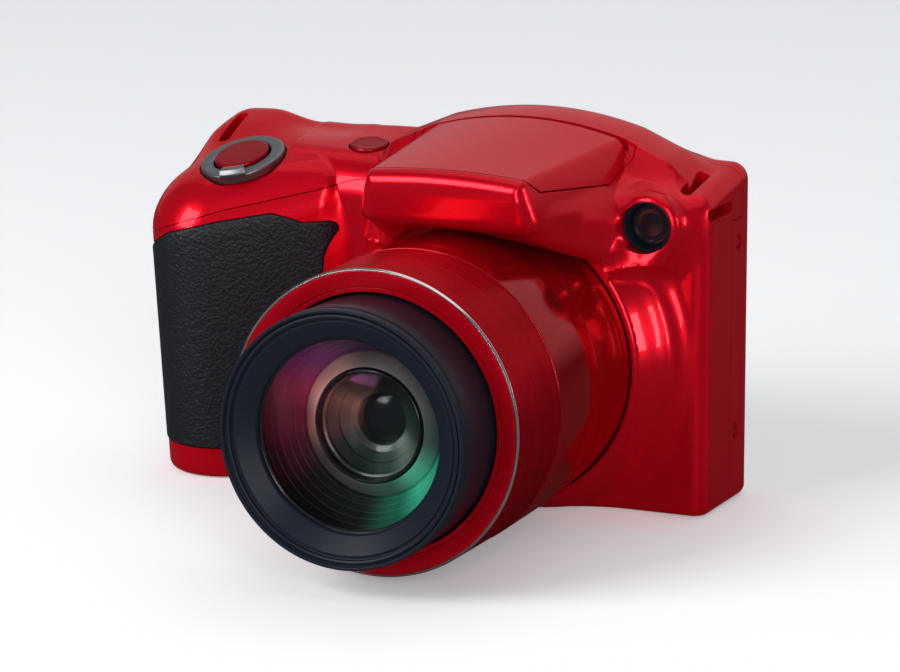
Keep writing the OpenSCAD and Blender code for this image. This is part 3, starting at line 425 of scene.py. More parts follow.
def carve(obj, cutter, operation="DIFFERENCE"):
    """Cuts a piece with a cutter, and removes the cutter."""
    step = obj.modifiers.new("carve", "BOOLEAN")
    step.solver = "MANIFOLD"
    step.operation = operation
    step.object = cutter
    made = bpy.data.meshes.new_from_object(obj.evaluated_get(bpy.context.evaluated_depsgraph_get()))
    obj.modifiers.clear()
    obj.data = made
    bpy.data.objects.remove(cutter)


def copy_of(obj, name):
    twin = bpy.data.objects.new(name, obj.data.copy())
    bpy.context.scene.collection.objects.link(twin)
    return twin


def settle_normals(obj, field, offset=0.0):
    """Shades the carved mesh with the form's own slope, and leaves cut faces flat."""
    mesh = obj.data
    count = len(mesh.vertices)
    points = np.empty(count * 3)
    mesh.vertices.foreach_get("co", points)
    points = points.reshape(-1, 3) / MM
    near = np.abs(field(*points.T) - offset) < 0.06
    slope = np.zeros_like(points)
    slope[near] = slope_of(field, points[near])
    slope /= np.maximum(np.linalg.norm(slope, axis=1), 1e-6)[:, None]
    loops = np.empty(len(mesh.loops), np.int32)
    mesh.loops.foreach_get("vertex_index", loops)
    faces = np.empty(len(mesh.polygons) * 3)
    mesh.polygons.foreach_get("normal", faces)
    sizes = np.empty(len(mesh.polygons), np.int32)
    mesh.polygons.foreach_get("loop_total", sizes)
    flat = np.repeat(faces.reshape(-1, 3), sizes, axis=0)
    curved = slope[loops]
    follow = near[loops] & ((flat * curved).sum(1) > 0.6)
    mesh.polygons.foreach_set("use_smooth", np.ones(len(mesh.polygons), bool))
    mesh.normals_split_custom_set([tuple(v) for v in np.where(follow[:, None], curved, flat)])


def soften(obj, angle=32):
    """Shades a mesh smooth, but for edges sharper than the angle."""
    mesh = obj.data
    mesh.polygons.foreach_set("use_smooth", np.ones(len(mesh.polygons), bool))
    mesh.set_sharp_from_angle(angle=math.radians(angle))


# Materials
def material(name, color, rough, metallic=0.0, coat=0.0, coat_rough=0.03, spec=0.5):
    mat = bpy.data.materials.new(name)
    mat.use_nodes = True
    shader = mat.node_tree.nodes["Principled BSDF"]
    shader.inputs["Base Color"].default_value = (*color, 1)
    shader.inputs["Roughness"].default_value = rough
    shader.inputs["Metallic"].default_value = metallic
    shader.inputs["Coat Weight"].default_value = coat
    shader.inputs["Coat Roughness"].default_value = coat_rough
    shader.inputs["Specular IOR Level"].default_value = spec
    return mat, shader


def node(mat, kind, **values):
    made = mat.node_tree.nodes.new(kind)
    for key, value in values.items():
        if key in made.inputs:
            made.inputs[key].default_value = value
        else:
            setattr(made, key, value)
    return made


def noise(mat, scale, detail=2.0, stretch=(1, 1, 1)):
    """Noise in the object's own metres."""
    place = node(mat, "ShaderNodeTexCoord")
    spread = node(mat, "ShaderNodeMapping", Scale=stretch)
    made = node(mat, "ShaderNodeTexNoise", Scale=scale, Detail=detail)
    mat.node_tree.links.new(place.outputs["Object"], spread.inputs["Vector"])
    mat.node_tree.links.new(spread.outputs["Vector"], made.inputs["Vector"])
    return made


def vary_color(mat, shader, source, low, high):
    ramp = node(mat, "ShaderNodeValToRGB")
    ramp.color_ramp.elements[0].color = (*low, 1)
    ramp.color_ramp.elements[1].color = (*high, 1)
    ramp.color_ramp.elements[0].position = 0.3
    ramp.color_ramp.elements[1].position = 0.7
    mat.node_tree.links.new(source, ramp.inputs["Fac"])
    mat.node_tree.links.new(ramp.outputs["Color"], shader.inputs["Base Color"])


def vary_rough(mat, shader, source, low, high):
    span = node(mat, "ShaderNodeMapRange")
    span.inputs["To Min"].default_value = low
    span.inputs["To Max"].default_value = high
    mat.node_tree.links.new(source, span.inputs["Value"])
    mat.node_tree.links.new(span.outputs["Result"], shader.inputs["Roughness"])


def bump(mat, shader, source, height, strength=1.0):
    made = node(mat, "ShaderNodeBump", Strength=strength, Distance=height)
    mat.node_tree.links.new(source, made.inputs["Height"])
    mat.node_tree.links.new(made.outputs["Normal"], shader.inputs["Normal"])


def candy_paint(name, dark, bright, rough):
    """Metallic red under clear lacquer, with fine flakes."""
    mat, shader = material(name, bright, rough, metallic=0.6, coat=0.2, coat_rough=0.03, spec=0.2)
    shader.inputs["Specular Tint"].default_value = (1, 0.35, 0.38, 1)
    flakes = noise(mat, 9000, 1.0)
    vary_color(mat, shader, flakes.outputs["Fac"], dark, bright)
    return mat


def spun_red():
    """Anodised metal with the fine circles of its turning."""
    mat, shader = material("spun_red", (0.5, 0.004, 0.016), 0.3, metallic=0.75, spec=0.2)
    shader.inputs["Specular Tint"].default_value = (1, 0.2, 0.25, 1)
    shader.inputs["Anisotropic"].default_value = 0.8
    shader.inputs["Anisotropic Rotation"].default_value = 0.25
    lines = noise(mat, 1.0, 3.0, (30, 9000, 30))
    vary_color(mat, shader, lines.outputs["Fac"], (0.3, 0.001, 0.008), (0.5, 0.004, 0.018))
    vary_rough(mat, shader, lines.outputs["Fac"], 0.2, 0.4)
    tangent = node(mat, "ShaderNodeTangent", direction_type="RADIAL", axis="Y")
    mat.node_tree.links.new(tangent.outputs["Tangent"], shader.inputs["Tangent"])
    return mat


def grained_rubber():
    """Black rubber moulded with a fine leather grain."""
    mat, shader = material("grained_rubber", (0.007, 0.008, 0.012), 0.5, spec=0.3)
    place = node(mat, "ShaderNodeTexCoord")
    cells = node(mat, "ShaderNodeTexVoronoi", feature="SMOOTH_F1", Scale=1700.0, Smoothness=0.6)
    warp = noise(mat, 520, 3.0)
    mix = node(mat, "ShaderNodeVectorMath", operation="MULTIPLY_ADD")
    mix.inputs[1].default_value = (0.0014, 0.0014, 0.0014)
    links = mat.node_tree.links
    links.new(warp.outputs["Color"], mix.inputs[0])
    links.new(place.outputs["Object"], mix.inputs[2])
    links.new(mix.outputs["Vector"], cells.inputs["Vector"])
    bump(mat, shader, cells.outputs["Distance"], -0.00016)
    vary_rough(mat, shader, cells.outputs["Distance"], 0.42, 0.56)
    return mat


def moulded_plastic(name, color, rough, grain=0.00002, spec=0.4):
    """Plastic from a finely etched mould."""
    mat, shader = material(name, color, rough, spec=spec)
    fine = noise(mat, 5200, 2.0)
    bump(mat, shader, fine.outputs["Fac"], grain, 0.5)
    vary_rough(mat, shader, fine.outputs["Fac"], rough * 0.85, rough * 1.15)
    return mat


def satin_metal(name, color, rough):
    mat, shader = material(name, color, rough, metallic=1.0)
    fine = noise(mat, 3000, 2.0)
    vary_rough(mat, shader, fine.outputs["Fac"], rough * 0.8, rough * 1.2)
    return mat


def around_axis(mat, stops):
    """A colour that changes round the lens axis: stops are (share of a turn from the left, colour)."""
    place = node(mat, "ShaderNodeTexCoord")
    face_on = node(mat, "ShaderNodeMapping", Location=(0, -LENS_Z * MM, 0), Rotation=(-math.pi / 2, 0, 0))
    sweep = node(mat, "ShaderNodeTexGradient", gradient_type="RADIAL")
    ramp = node(mat, "ShaderNodeValToRGB")
    ramp.color_ramp.interpolation = "EASE"
    for _ in stops[2:]:
        ramp.color_ramp.elements.new(0.5)
    for element, (share, color) in zip(ramp.color_ramp.elements, stops):
        element.position = share
        element.color = (*color, 1)
    links = mat.node_tree.links
    links.new(place.outputs["Object"], face_on.inputs["Vector"])
    links.new(face_on.outputs["Vector"], sweep.inputs["Vector"])
    links.new(sweep.outputs["Fac"], ramp.inputs["Fac"])
    return ramp.outputs["Color"]


def reflection_painted_wall(name, stops, rough, coat=0.0):
    """A dark lens interior whose colour carries painted reflections of the coated glass in front of it,
    changing round the lens axis.
    """
    mat, shader = material(name, (0.02, 0.02, 0.02), rough, coat=coat, coat_rough=0.08)
    mat.node_tree.links.new(around_axis(mat, stops), shader.inputs["Base Color"])
    fine = noise(mat, 2600, 2.0)
    vary_rough(mat, shader, fine.outputs["Fac"], rough * 0.9, rough * 1.1)
    return mat


def coated_glass_painted_reflections(name, stops, head_on, edge_on):
    """Glass that mirrors what is round it, tinted by its coating, with painted reflection colours that change
    round the lens axis; the shares say how much it mirrors.
    """
    mat, shader = material(name, (0.2, 0.2, 0.2), 0.02, metallic=1.0)
    mat.node_tree.links.new(around_axis(mat, stops), shader.inputs["Base Color"])
    facing = node(mat, "ShaderNodeLayerWeight", Blend=0.35)
    share = node(mat, "ShaderNodeMapRange")
    share.inputs["To Min"].default_value = head_on
    share.inputs["To Max"].default_value = edge_on
    mat.node_tree.links.new(facing.outputs["Fresnel"], share.inputs["Value"])
    mat.node_tree.links.new(share.outputs["Result"], shader.inputs["Alpha"])
    return mat


def clear_plastic():
    """A pale window with fine upright ribs."""
    mat, shader = material("clear_plastic", (0.9, 0.92, 0.94), 0.08, coat=1.0)
    shader.inputs["Transmission Weight"].default_value = 0.6
    place = node(mat, "ShaderNodeTexCoord")
    ribs = node(mat, "ShaderNodeTexWave", Scale=420.0, bands_direction="X")
    mat.node_tree.links.new(place.outputs["Object"], ribs.inputs["Vector"])
    bump(mat, shader, ribs.outputs["Fac"], 0.0003, 0.6)
    return mat


def circuit_board():
    """Green lacquer over fine copper tracks."""
    mat, shader = material("circuit_board", (0.02, 0.12, 0.05), 0.35, coat=0.5)
    place = node(mat, "ShaderNodeTexCoord")
    tracks = node(mat, "ShaderNodeTexVoronoi", feature="DISTANCE_TO_EDGE", distance="MANHATTAN", Scale=420.0)
    mat.node_tree.links.new(place.outputs["Object"], tracks.inputs["Vector"])
    vary_color(mat, shader, tracks.outputs["Distance"], (0.03, 0.2, 0.08), (0.012, 0.09, 0.035))
    bump(mat, shader, tracks.outputs["Distance"], 0.00004, 0.6)
    return mat


def screen_glass():
    """Black glass over a screen that shows a shade lighter than its frame."""
    mat, shader = material("screen_glass", (0.006, 0.006, 0.008), 0.05, coat=1.0, coat_rough=0.01)
    fine = noise(mat, 60, 2.0)
    vary_color(mat, shader, fine.outputs["Fac"], (0.005, 0.005, 0.007), (0.009, 0.009, 0.012))
    vary_rough(mat, shader, fine.outputs["Fac"], 0.04, 0.07)
    return mat


PAINT = candy_paint("candy_paint", (0.52, 0.001, 0.009), (0.72, 0.003, 0.017), 0.28)
BARREL_RED = candy_paint("gloss_red", (0.26, 0.001, 0.004), (0.36, 0.002, 0.007), 0.14)
BUTTON_RED = candy_paint("satin_red", (0.24, 0.001, 0.006), (0.34, 0.002, 0.01), 0.42)
SPUN = spun_red()
RUBBER_SKIN = grained_rubber()
SATIN_BLACK = moulded_plastic("satin_black", (0.008, 0.0105, 0.018), 0.38, spec=0.12)
GLOSS_BLACK = moulded_plastic("gloss_black", (0.008, 0.009, 0.012), 0.16)
MATTE_BLACK = moulded_plastic("matte_black", (0.008, 0.008, 0.009), 0.7)
KEY_BLACK = moulded_plastic("key_black", (0.015, 0.015, 0.017), 0.38)
BATTERY_GREY = moulded_plastic("battery_grey", (0.07, 0.073, 0.08), 0.45)
CATCH_ORANGE = moulded_plastic("catch_orange", (0.7, 0.13, 0.012), 0.4)
GUNMETAL = satin_metal("gunmetal", (0.2, 0.2, 0.21), 0.42)
STEEL = satin_metal("steel", (0.62, 0.62, 0.64), 0.24)
BRIGHT = satin_metal("bright_edge", (0.95, 0.9, 0.9), 0.16)
ALLOY = satin_metal("alloy", (0.5, 0.5, 0.52), 0.4)
WINDOW = clear_plastic()
BOARD = circuit_board()
SCREEN = screen_glass()
# Painted reflections and highlights, by place round the lens from the left: down, the foot, the lower right,
# the right, the top, the upper left and back
WALL_PAINTED_REFLECTIONS = reflection_painted_wall("funnel_wall_painted_reflections", [(0.0, (0.17, 0.01, 0.03)), (0.06, (0.06, 0.005, 0.016)),
    (0.13, (0.006, 0.004, 0.006)), (0.24, (0.003, 0.006, 0.006)), (0.31, (0.01, 0.16, 0.1)),
    (0.37, (0.06, 0.6, 0.38)), (0.5, (0.01, 0.06, 0.04)), (0.66, (0.008, 0.008, 0.01)),
    (0.77, (0.04, 0.012, 0.06)), (0.86, (0.16, 0.025, 0.13)), (0.94, (0.3, 0.02, 0.06)),
    (1.0, (0.17, 0.01, 0.03))], 0.35, 0.4)
# Painted highlight and reflection on the inner ring: pale pink at the upper left, green at the lower right
RING_PAINTED_HIGHLIGHTS = reflection_painted_wall("inner_ring", [(0.0, (0.4, 0.18, 0.15)), (0.1, (0.06, 0.05, 0.05)),
    (0.22, (0.07, 0.075, 0.07)), (0.3, (0.05, 0.12, 0.085)), (0.38, (0.1, 0.5, 0.32)),
    (0.48, (0.06, 0.1, 0.08)), (0.6, (0.08, 0.075, 0.075)), (0.76, (0.12, 0.1, 0.1)),
    (0.86, (0.55, 0.28, 0.24)), (0.93, (0.9, 0.42, 0.36)), (1.0, (0.4, 0.18, 0.15))], 0.5)
# Painted reflections on the core: warm at the upper left, green at the lower right
CORE_PAINTED_REFLECTIONS = reflection_painted_wall("lens_core", [(0.0, (0.16, 0.07, 0.05)), (0.1, (0.02, 0.02, 0.018)),
    (0.2, (0.008, 0.012, 0.011)), (0.3, (0.03, 0.06, 0.048)), (0.38, (0.16, 0.23, 0.19)),
    (0.48, (0.02, 0.04, 0.034)), (0.75, (0.006, 0.01, 0.009)), (0.86, (0.1, 0.05, 0.035)),
    (0.93, (0.3, 0.12, 0.08)), (1.0, (0.16, 0.07, 0.05))], 0.4, 0.6)
# The coating's tint with painted reflection colours: magenta at the upper left, green at the lower right
COATING_AND_PAINTED_REFLECTIONS = [(0.0, (0.6, 0.05, 0.2)), (0.15, (0.1, 0.04, 0.08)), (0.25, (0.03, 0.1, 0.07)),
    (0.36, (0.05, 0.5, 0.3)), (0.5, (0.06, 0.16, 0.12)), (0.7, (0.1, 0.08, 0.12)),
    (0.85, (0.5, 0.08, 0.34)), (1.0, (0.6, 0.05, 0.2))]
FRONT_GLASS = coated_glass_painted_reflections("front_glass", COATING_AND_PAINTED_REFLECTIONS, 0.06, 0.4)
INNER_GLASS = coated_glass_painted_reflections("inner_glass", COATING_AND_PAINTED_REFLECTIONS, 0.02, 0.2)


def dress(obj, mat):
    obj.data.materials.clear()
    obj.data.materials.append(mat)


def add(obj, body, slot, mat, *nodes):
    """Gives a piece its material and body, and hides the solids it stands for."""
    dress(obj, mat)
    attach(obj, body)
    if nodes:
        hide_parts(*nodes)
    return obj


# The covers: one form, carved into the three covers and the flash lid
def rear_space(gap):
    """The space behind the seam of the rear cover, in three blocks."""
    seam = [(90, 2.4 - gap), (-49.6, 2.4 - gap), (-69.6, -5 - gap), (-90, -5 - gap)]
    return [prism(seam + [(-90, 60), (90, 60)], "Z", -5, 50 + gap),
            box((-21.5, 7.5 - gap, 49), (90, 60, 90)),
            box((-90, 2.4 - gap, 49), (-21.4, 60, 55.5))]


SEAM_LINE = [(-90, 36), (-67.5, 43.3), (-60, 46.1), (-52.5, 48.5), (-47, 49.8), (-42.5, 50.9), (-37.6, 52.1),
    (-31.5, 54), (-21.5, 55.2)]


def one_solid(parts):
    """Joins several cutters into one."""
    first = parts[0]
    for other in parts[1:]:
        carve(first, other, "UNION")
    return first


def top_space(gap):
    """The space above the seam of the top cover."""
    edge = [(u, v - gap) for u, v in SEAM_LINE[:-1]]
    inner = -21.5 + gap
    outline = edge + [(inner, SEAM_LINE[-1][1] - gap), (inner, 90), (-90, 90)]
    whole = prism(outline, "Y", -60, 60)
    carve(whole, box((-31 + gap, -70, 0), (90, -9.5 - gap, 95)))
    carve(whole, box((-95, 2.4 + gap, 0), (90, 95, 55.5 - gap)))
    return whole


LID_EDGE = [(-39.6, 64.2), (-38.8, 62.4), (-36.2, 60.6), (-14, 58.2), (-7.6, 60.2), (-5.2, 62.6)]
LID_PLAN = [(15.9, -44), (16.4, -37), (18.9, -14), (19.8, -8), (19.8, 0)]


def lid_space(gap, back):
    """The space above the lid's edge, as wide as the lid."""
    outline = [(u - gap, v - gap) for u, v in LID_EDGE[:-1]]
    outline += [(back, LID_EDGE[-1][1] - gap), (back, 90), (LID_EDGE[0][0] - gap, 90)]
    space = prism(outline, "X", -45, 45)
    right = [(u + gap, v) for u, v in LID_PLAN]
    left = [(-u, v) for u, v in reversed(right)]
    carve(space, prism(right + left, "Z", 40, 95), "INTERSECT")
    return space


def tilt(plane):
    """A frame on a sloping top, with Z straight out of it."""
    (px, py, pz), (sx, sy) = plane
    turn = Vector((-sx, -sy, 1)).to_track_quat("Z", "Y").to_matrix().to_4x4()
    return Matrix.Translation((px, py, pz)) @ turn


SHUTTER = tilt(GRIP_TOP)
POWER_AT = (-32.3, -0.9)
POWER_Z = DECK[0][2] + sum(DECK[1][k] * (POWER_AT[k] - DECK[0][k]) for k in range(2))
POWER = tilt(((POWER_AT[0], POWER_AT[1], POWER_Z), DECK[1]))
KEYS = {"movie": (-43.5, 49.5), "play": (-56, 37.5), "help": (-46.5, 37.5), "menu": (-46.5, 6.6)}
PAD = (-52, 21)
DOOR_LOW, DOOR_HIGH = (-60.2, -8.8, 0), (-26, 7.4, 1.8)
STRAP_R = 1.0
SCREW_R = 1.25
SCREW_SINK = 0.5
BASE_SCREWS = ((27, 10.3), (19, -5), (-22, 10.3))
SIDE_SCREWS = ((5.6, 45.9), (4.9, 12.5))
# The flap lies on the grip's flat side: half its height up, turned to face out, leaning with the side
FLAP_SIZE = (1.3, 9.5, 22)
FLAP = (Matrix.Translation((-65.5635, 2.58727, 30.5)) @ Matrix.Rotation(math.radians(-13.811), 4, "Z")
        @ Matrix.Rotation(math.radians(-1.51468), 4, "Y") @ Matrix.Translation((0, 0, -11)))


def strap_slots(sign):
    """Two narrow slots that meet inside the shoulder, one from the top and one from the side."""
    if sign > 0:
        x, y, z, half = 30, -3, 52.8, 4.2
    else:
        x, y, z, half = -61, 3.5, 53.4, 3.7
    cutters = []
    for direction in ((0, 0, 1), (sign, 0, 0)):
        d = Vector(direction)
        across = Vector((1, 0, 0)) if direction[2] else Vector((0, 0, 1))
        ring = [(math.cos(a), math.sin(a)) for a in np.linspace(0, 2 * math.pi, 40, endpoint=False)]
        outline = [(STRAP_R * c, STRAP_R * s + half * (1 if s >= 0 else -1)) for c, s in ring]
        points = []
        for h in (-STRAP_R, 13):
            points += [Vector((x, y, z)) + across * u + Vector((0, 1, 0)) * v + d * h for u, v in outline]
        n = len(outline)
        faces = [tuple(range(n)), tuple(range(n, 2 * n))]
        faces += [(i, (i + 1) % n, n + (i + 1) % n, n + i) for i in range(n)]
        cutters.append(outward(new_object("cutter", [p * MM for p in points], faces)))
    return cutters


def base_cuts():
    """Openings for the battery door, the tripod socket and the screws."""
    door = box((DOOR_LOW[0] - PLAY, DOOR_LOW[1] - PLAY, -5), (DOOR_HIGH[0] + PLAY, DOOR_HIGH[1] + 1.55, 2.6))
    holes = [rod((u, v, -5), (0, 0, 1), SCREW_R + 0.1, 6.5, 32) for u, v in BASE_SCREWS]
    return [door, rod((0, 0, -5), (0, 0, 1), 5.9, 9)] + holes


def flap_box(low, high):
    """A block in the terminal flap's frame, where -X points out of the side."""
    made = box(low, high)
    made.data.transform(Matrix.Scale(1 / MM, 4))
    made.data.transform(Matrix.Scale(MM, 4) @ FLAP)
    return made


form = form_object("form", body_form, *FORM_BOX, STEP)
carve(form, rod((0, -60, LENS_Z), (0, 1, 0), 26.65, 41.6, 192))
carve(form, rod((0, -30, LENS_Z), (0, 1, 0), 24.8, 28, 192))
hollow = form_object("hollow", body_hollow, *FORM_BOX, 1.0)
# The shoulders stay solid round the strap slots
carve(hollow, box((26.8, -12, 48.5), (40, 5.6, 75)))
carve(hollow, box((-75, -4.2, 49), (-58, 14, 75)))
shell = copy_of(form, "shell")
carve(shell, hollow)

front = copy_of(shell, "front_cover_skin")
spaces = rear_space(SEAM / 2) + [top_space(SEAM / 2), lid_space(LID_PLAY, LID_BACK + 2 * LID_PLAY)]
for cutter in spaces + base_cuts() + strap_slots(1):
    carve(front, cutter)
# Room under the lip behind the lid, where its rear edge turns down
carve(front, box((-6.5, -6, 60), (6.5, -4.1, 66.2)))
carve(front, rod((LAMP[0], -30, LAMP[1]), (0, 1, 0), 4.4, 26))


def rubber_pocket(x, y, z):
    """The room for the rubber, a little wider and deeper than it is."""
    skin = grip_form(x, y, z)
    layer = np.maximum(-skin - RUBBER_DEEP - 0.1, skin - 2)
    return np.maximum(np.maximum(layer, outline_distance(RUBBER, x, z) - 0.12), y + 5.6)


carve(front, form_object("pocket", rubber_pocket, *GRIP_BOX, STEP))

rear = copy_of(shell, "rear_cover_skin")
carve(rear, one_solid(rear_space(-SEAM / 2)), "INTERSECT")
carve(rear, top_space(SEAM / 2))
for cutter in base_cuts() + strap_slots(1):
    carve(rear, cutter)
carve(rear, box((-34.6, 8, 4.5), (30.6, 20, 53.7)))
carve(rear, rod((PAD[0], 8, PAD[1]), (0, 1, 0), 9.5, 10))
for u, v in KEYS.values():
    carve(rear, rod((u, 8, v), (0, 1, 0), 3.0, 10))
for v, w in SIDE_SCREWS:
    carve(rear, rod((33.4, v, w), (1, 0, 0), SCREW_R + 0.1, 5))
half_flap = FLAP_SIZE[1] / 2
carve(rear, flap_box((-3, -half_flap - PLAY, -PLAY),
                     (FLAP_SIZE[0] + PLAY, half_flap + PLAY, FLAP_SIZE[2] + PLAY)))
carve(rear, flap_box((0, 2 - half_flap, 2), (8, half_flap - 2, FLAP_SIZE[2] - 2)))

top = copy_of(shell, "top_cover_skin")
carve(top, top_space(-SEAM / 2), "INTERSECT")
for cutter in strap_slots(-1):
    carve(top, cutter)
axis = SHUTTER.to_3x3() @ Vector((0, 0, 1))
carve(top, rod(SHUTTER @ Vector((0, 0, -1.2)), axis, 7.95, 10))
carve(top, rod(SHUTTER @ Vector((0, 0, -9)), axis, 2.5, 12))
carve(top, rod(POWER @ Vector((0, 0, -6)), POWER.to_3x3() @ Vector((0, 0, 1)), 3.65, 10))

lid = copy_of(form, "flash_lid_skin")
carve(lid, lid_space(0, LID_BACK), "INTERSECT")


def lid_inside(x, y, z):
    """The lid is hollow, and open at the rear where it turns about its pin."""
    return np.maximum(lid_form(x, y, z), y + 5) + 1.3 - np.clip(y + 7.3, 0, 9)


carve(lid, form_object("lid_inside", lid_inside, (-24, -46, 50), (24, 4, 72), 0.8))

for piece, node_name, body in ((front, "front_cover", "camera_body"), (rear, "rear_cover", "camera_body"),
                               (top, "top_cover", "camera_body"), (lid, "flash_lid", "flash")):
    settle_normals(piece, body_form)
    add(piece, body, "red_shell", PAINT, node_name)

flap = copy_of(form, "terminal_flap_skin")
carve(flap, flap_box((-2, -half_flap, 0), (FLAP_SIZE[0], half_flap - 0.65, FLAP_SIZE[2])), "INTERSECT")
knuckle = FLAP @ Vector((0.65, half_flap - 0.65, 0))
carve(flap, rod(knuckle, FLAP.to_3x3() @ Vector((0, 0, 1)), 0.65, FLAP_SIZE[2], 32), "UNION")
settle_normals(flap, body_form)
add(flap, "flap", "red_shell", PAINT, "terminal_flap")
for spare in (form, shell):
    bpy.data.objects.remove(spare)

grip = form_object("grip_rubber_skin", rubber_form, *GRIP_BOX, STEP * 0.8)
settle_normals(grip, grip_form, RUBBER_PROUD)
add(grip, "camera_body", "grip_rubber", RUBBER_SKIN, "grip_rubber")

# The lens, turned about its axis: radius and distance in front of the tripod socket
LENS = Matrix.Translation((0, 0, LENS_Z)) @ Matrix.Rotation(math.pi / 2, 4, "X")


def lens_piece(name, profile, body, slot, mat, *nodes, radius=0.12):
    return add(turned(name, rounded(profile, radius), LENS, 192), body, slot, mat, *nodes)


lens_piece("gloss_barrel_skin", [(23.75, 9), (24.5, 9), (24.5, 20), (24.75, 24, 6), (24.95, 33, 6),
    (25.55, 38.5, 6), (25.82, 51.8, 0.25), (23.75, 51.8)],
           "camera_body", "red_shell", BARREL_RED, "gloss_barrel")
lens_piece("brushed_ring_skin", [(23.75, 52), (25.72, 52), (25.75, 68.85), (25.3, 68.85), (25.3, 67.9),
    (23.75, 67.9)], "camera_body", "red_anodised", SPUN, "brushed_ring", radius=0.08)
lens_piece("ring_chamfer", [(25.34, 68.5), (25.34, 69.28), (25.5, 69.28), (25.75, 68.98), (25.75, 68.88),
    (25.38, 68.88)], "camera_body", "bare_metal", BRIGHT, radius=0.03)
lens_piece("face_ring_skin", [(22.62, 68), (25.28, 68), (25.28, 69.28), (24.9, 69.28), (22.62, 68.88)],
           "camera_body", "red_shell", PAINT, "face_ring", radius=0.04)
lens_piece("middle_front_ring", [(21.75, 68.2), (22.5, 68.2), (22.5, 68.85), (21.75, 68.7)],
           "middle", "red_shell", PAINT, radius=0.04)
lens_piece("front_barrel_skin", [(20.7, 30), (21.28, 30), (21.28, 76.7), (21.53, 77.1), (21.53, 79.7),
    (21.28, 79.9), (21.28, 80.3), (21.53, 80.5), (21.53, 82, 0.4), (20.95, 82, 0.25), (20.85, 81.5),
    (20.7, 81.4)], "front", "satin_black", SATIN_BLACK, "front_barrel")
lens_piece("front_bezel_skin", [(17.6, 75.7), (20.6, 75.7), (20.6, 81.55), (20.25, 81.65), (19.95, 81.5),
    (19.9, 81.0), (19.55, 80.9), (19.45, 81.15), (19.15, 81.1), (16.4, 79.2), (16.15, 78.85),
    (16.15, 78.3), (17.6, 78.3)], "front", "satin_black", SATIN_BLACK, "front_bezel", radius=0.1)
lens_piece("glass_lip", [(15.85, 77.6), (16.1, 77.5), (17.5, 77.5), (17.5, 78.25), (16.1, 78.25),
    (15.75, 77.95)], "front", "satin_black", GLOSS_BLACK, radius=0.08)


def dome(name, r, apex, curve, thickness, body, mat, node_name):
    """A lens element with a convex front and a back of the same curve."""
    rim = [r * math.sin(t) for t in np.linspace(0, math.pi / 2, 24)]
    sag = [curve - math.sqrt(curve * curve - u * u) for u in rim]
    profile = [(u, apex - h) for u, h in zip(rim, sag)]
    profile += [(u, apex - thickness - h) for u, h in zip(reversed(rim), reversed(sag))]
    add(turned(name, profile, LENS, 128), body, "lens_glass", mat, node_name)


dome("front_element_skin", 16.6, 79.7, 60, 1.2, "front", FRONT_GLASS, "front_element")
dome("second_element_skin", 8.9, 71.9, 24, 0.8, "front", INNER_GLASS, "second_element")

# The funnel behind the front glass is turned in fine steps, down to the ring round the second glass
steps = []
STEPS = 6
for k in range(STEPS):
    r = 16.6 - 4.1 * k / (STEPS - 1)
    f = 75.4 - 6.0 * k / (STEPS - 1)
    steps += [(r, f), (r - 0.66, f - 1.05)]
lens_piece("inner_baffle_skin", [(20.5, 75.5), (17.3, 75.5)] + steps + [(12.4, 66.5), (20.5, 66.5)],
           "front", "black_plastic", WALL_PAINTED_REFLECTIONS, "inner_baffle", radius=0.06)
lens_piece("inner_ring", [(12.3, 66.6), (12.3, 68.7), (11.9, 69.3), (9.7, 70.9), (9.5, 66.6)],
           "front", "black_plastic", RING_PAINTED_HIGHLIGHTS, radius=0.2)
lens_piece("inner_lip", [(9.4, 66.6), (9.4, 71.15), (9.2, 71.25), (8.95, 71.0), (8.95, 66.6)],
           "front", "black_plastic", GLOSS_BLACK, radius=0.08)
lens_piece("lens_core", [(0, 62.6), (8.9, 62.6), (8.9, 69.9), (8.4, 69.6), (8.2, 69.0), (6.9, 67.8),
    (6.8, 67.4), (5.4, 66.2), (4.4, 65.9), (4.2, 65.5), (4.1, 64.0), (0, 64.0)],
           "front", "black_plastic", CORE_PAINTED_REFLECTIONS, radius=0.1)
lens_piece("lens_pupil", [(0, 64.05), (4.0, 64.05), (4.0, 64.3), (2.2, 64.95, 4), (0, 65.1)],
           "front", "lens_glass", GLOSS_BLACK, radius=0.05)

# The lamp beside the lens
LAMP_AXIS = Matrix.Translation((LAMP[0], 0, LAMP[1])) @ Matrix.Rotation(math.pi / 2, 4, "X")
bezel = [(2.6, 8.2), (4.3, 8.2), (4.3, 14.1), (4.1, 14.15), (3.8, 13.6), (3.65, 12.9), (3.62, 11),
    (2.6, 10.6)]
add(turned("lamp_bezel_skin", rounded(bezel, 0.12), LAMP_AXIS, 96),
    "camera_body", "satin_black", SATIN_BLACK, "lamp_bezel")
glass = [(0, 11.0), (3.6, 11.0), (3.6, 12.0), (2.9, 12.1), (2.8, 11.8), (2.0, 11.75), (0, 11.9)]
add(turned("lamp_window_skin", rounded(glass, 0.15), LAMP_AXIS, 96),
    "camera_body", "lamp_glass", GLOSS_BLACK, "lamp_window")

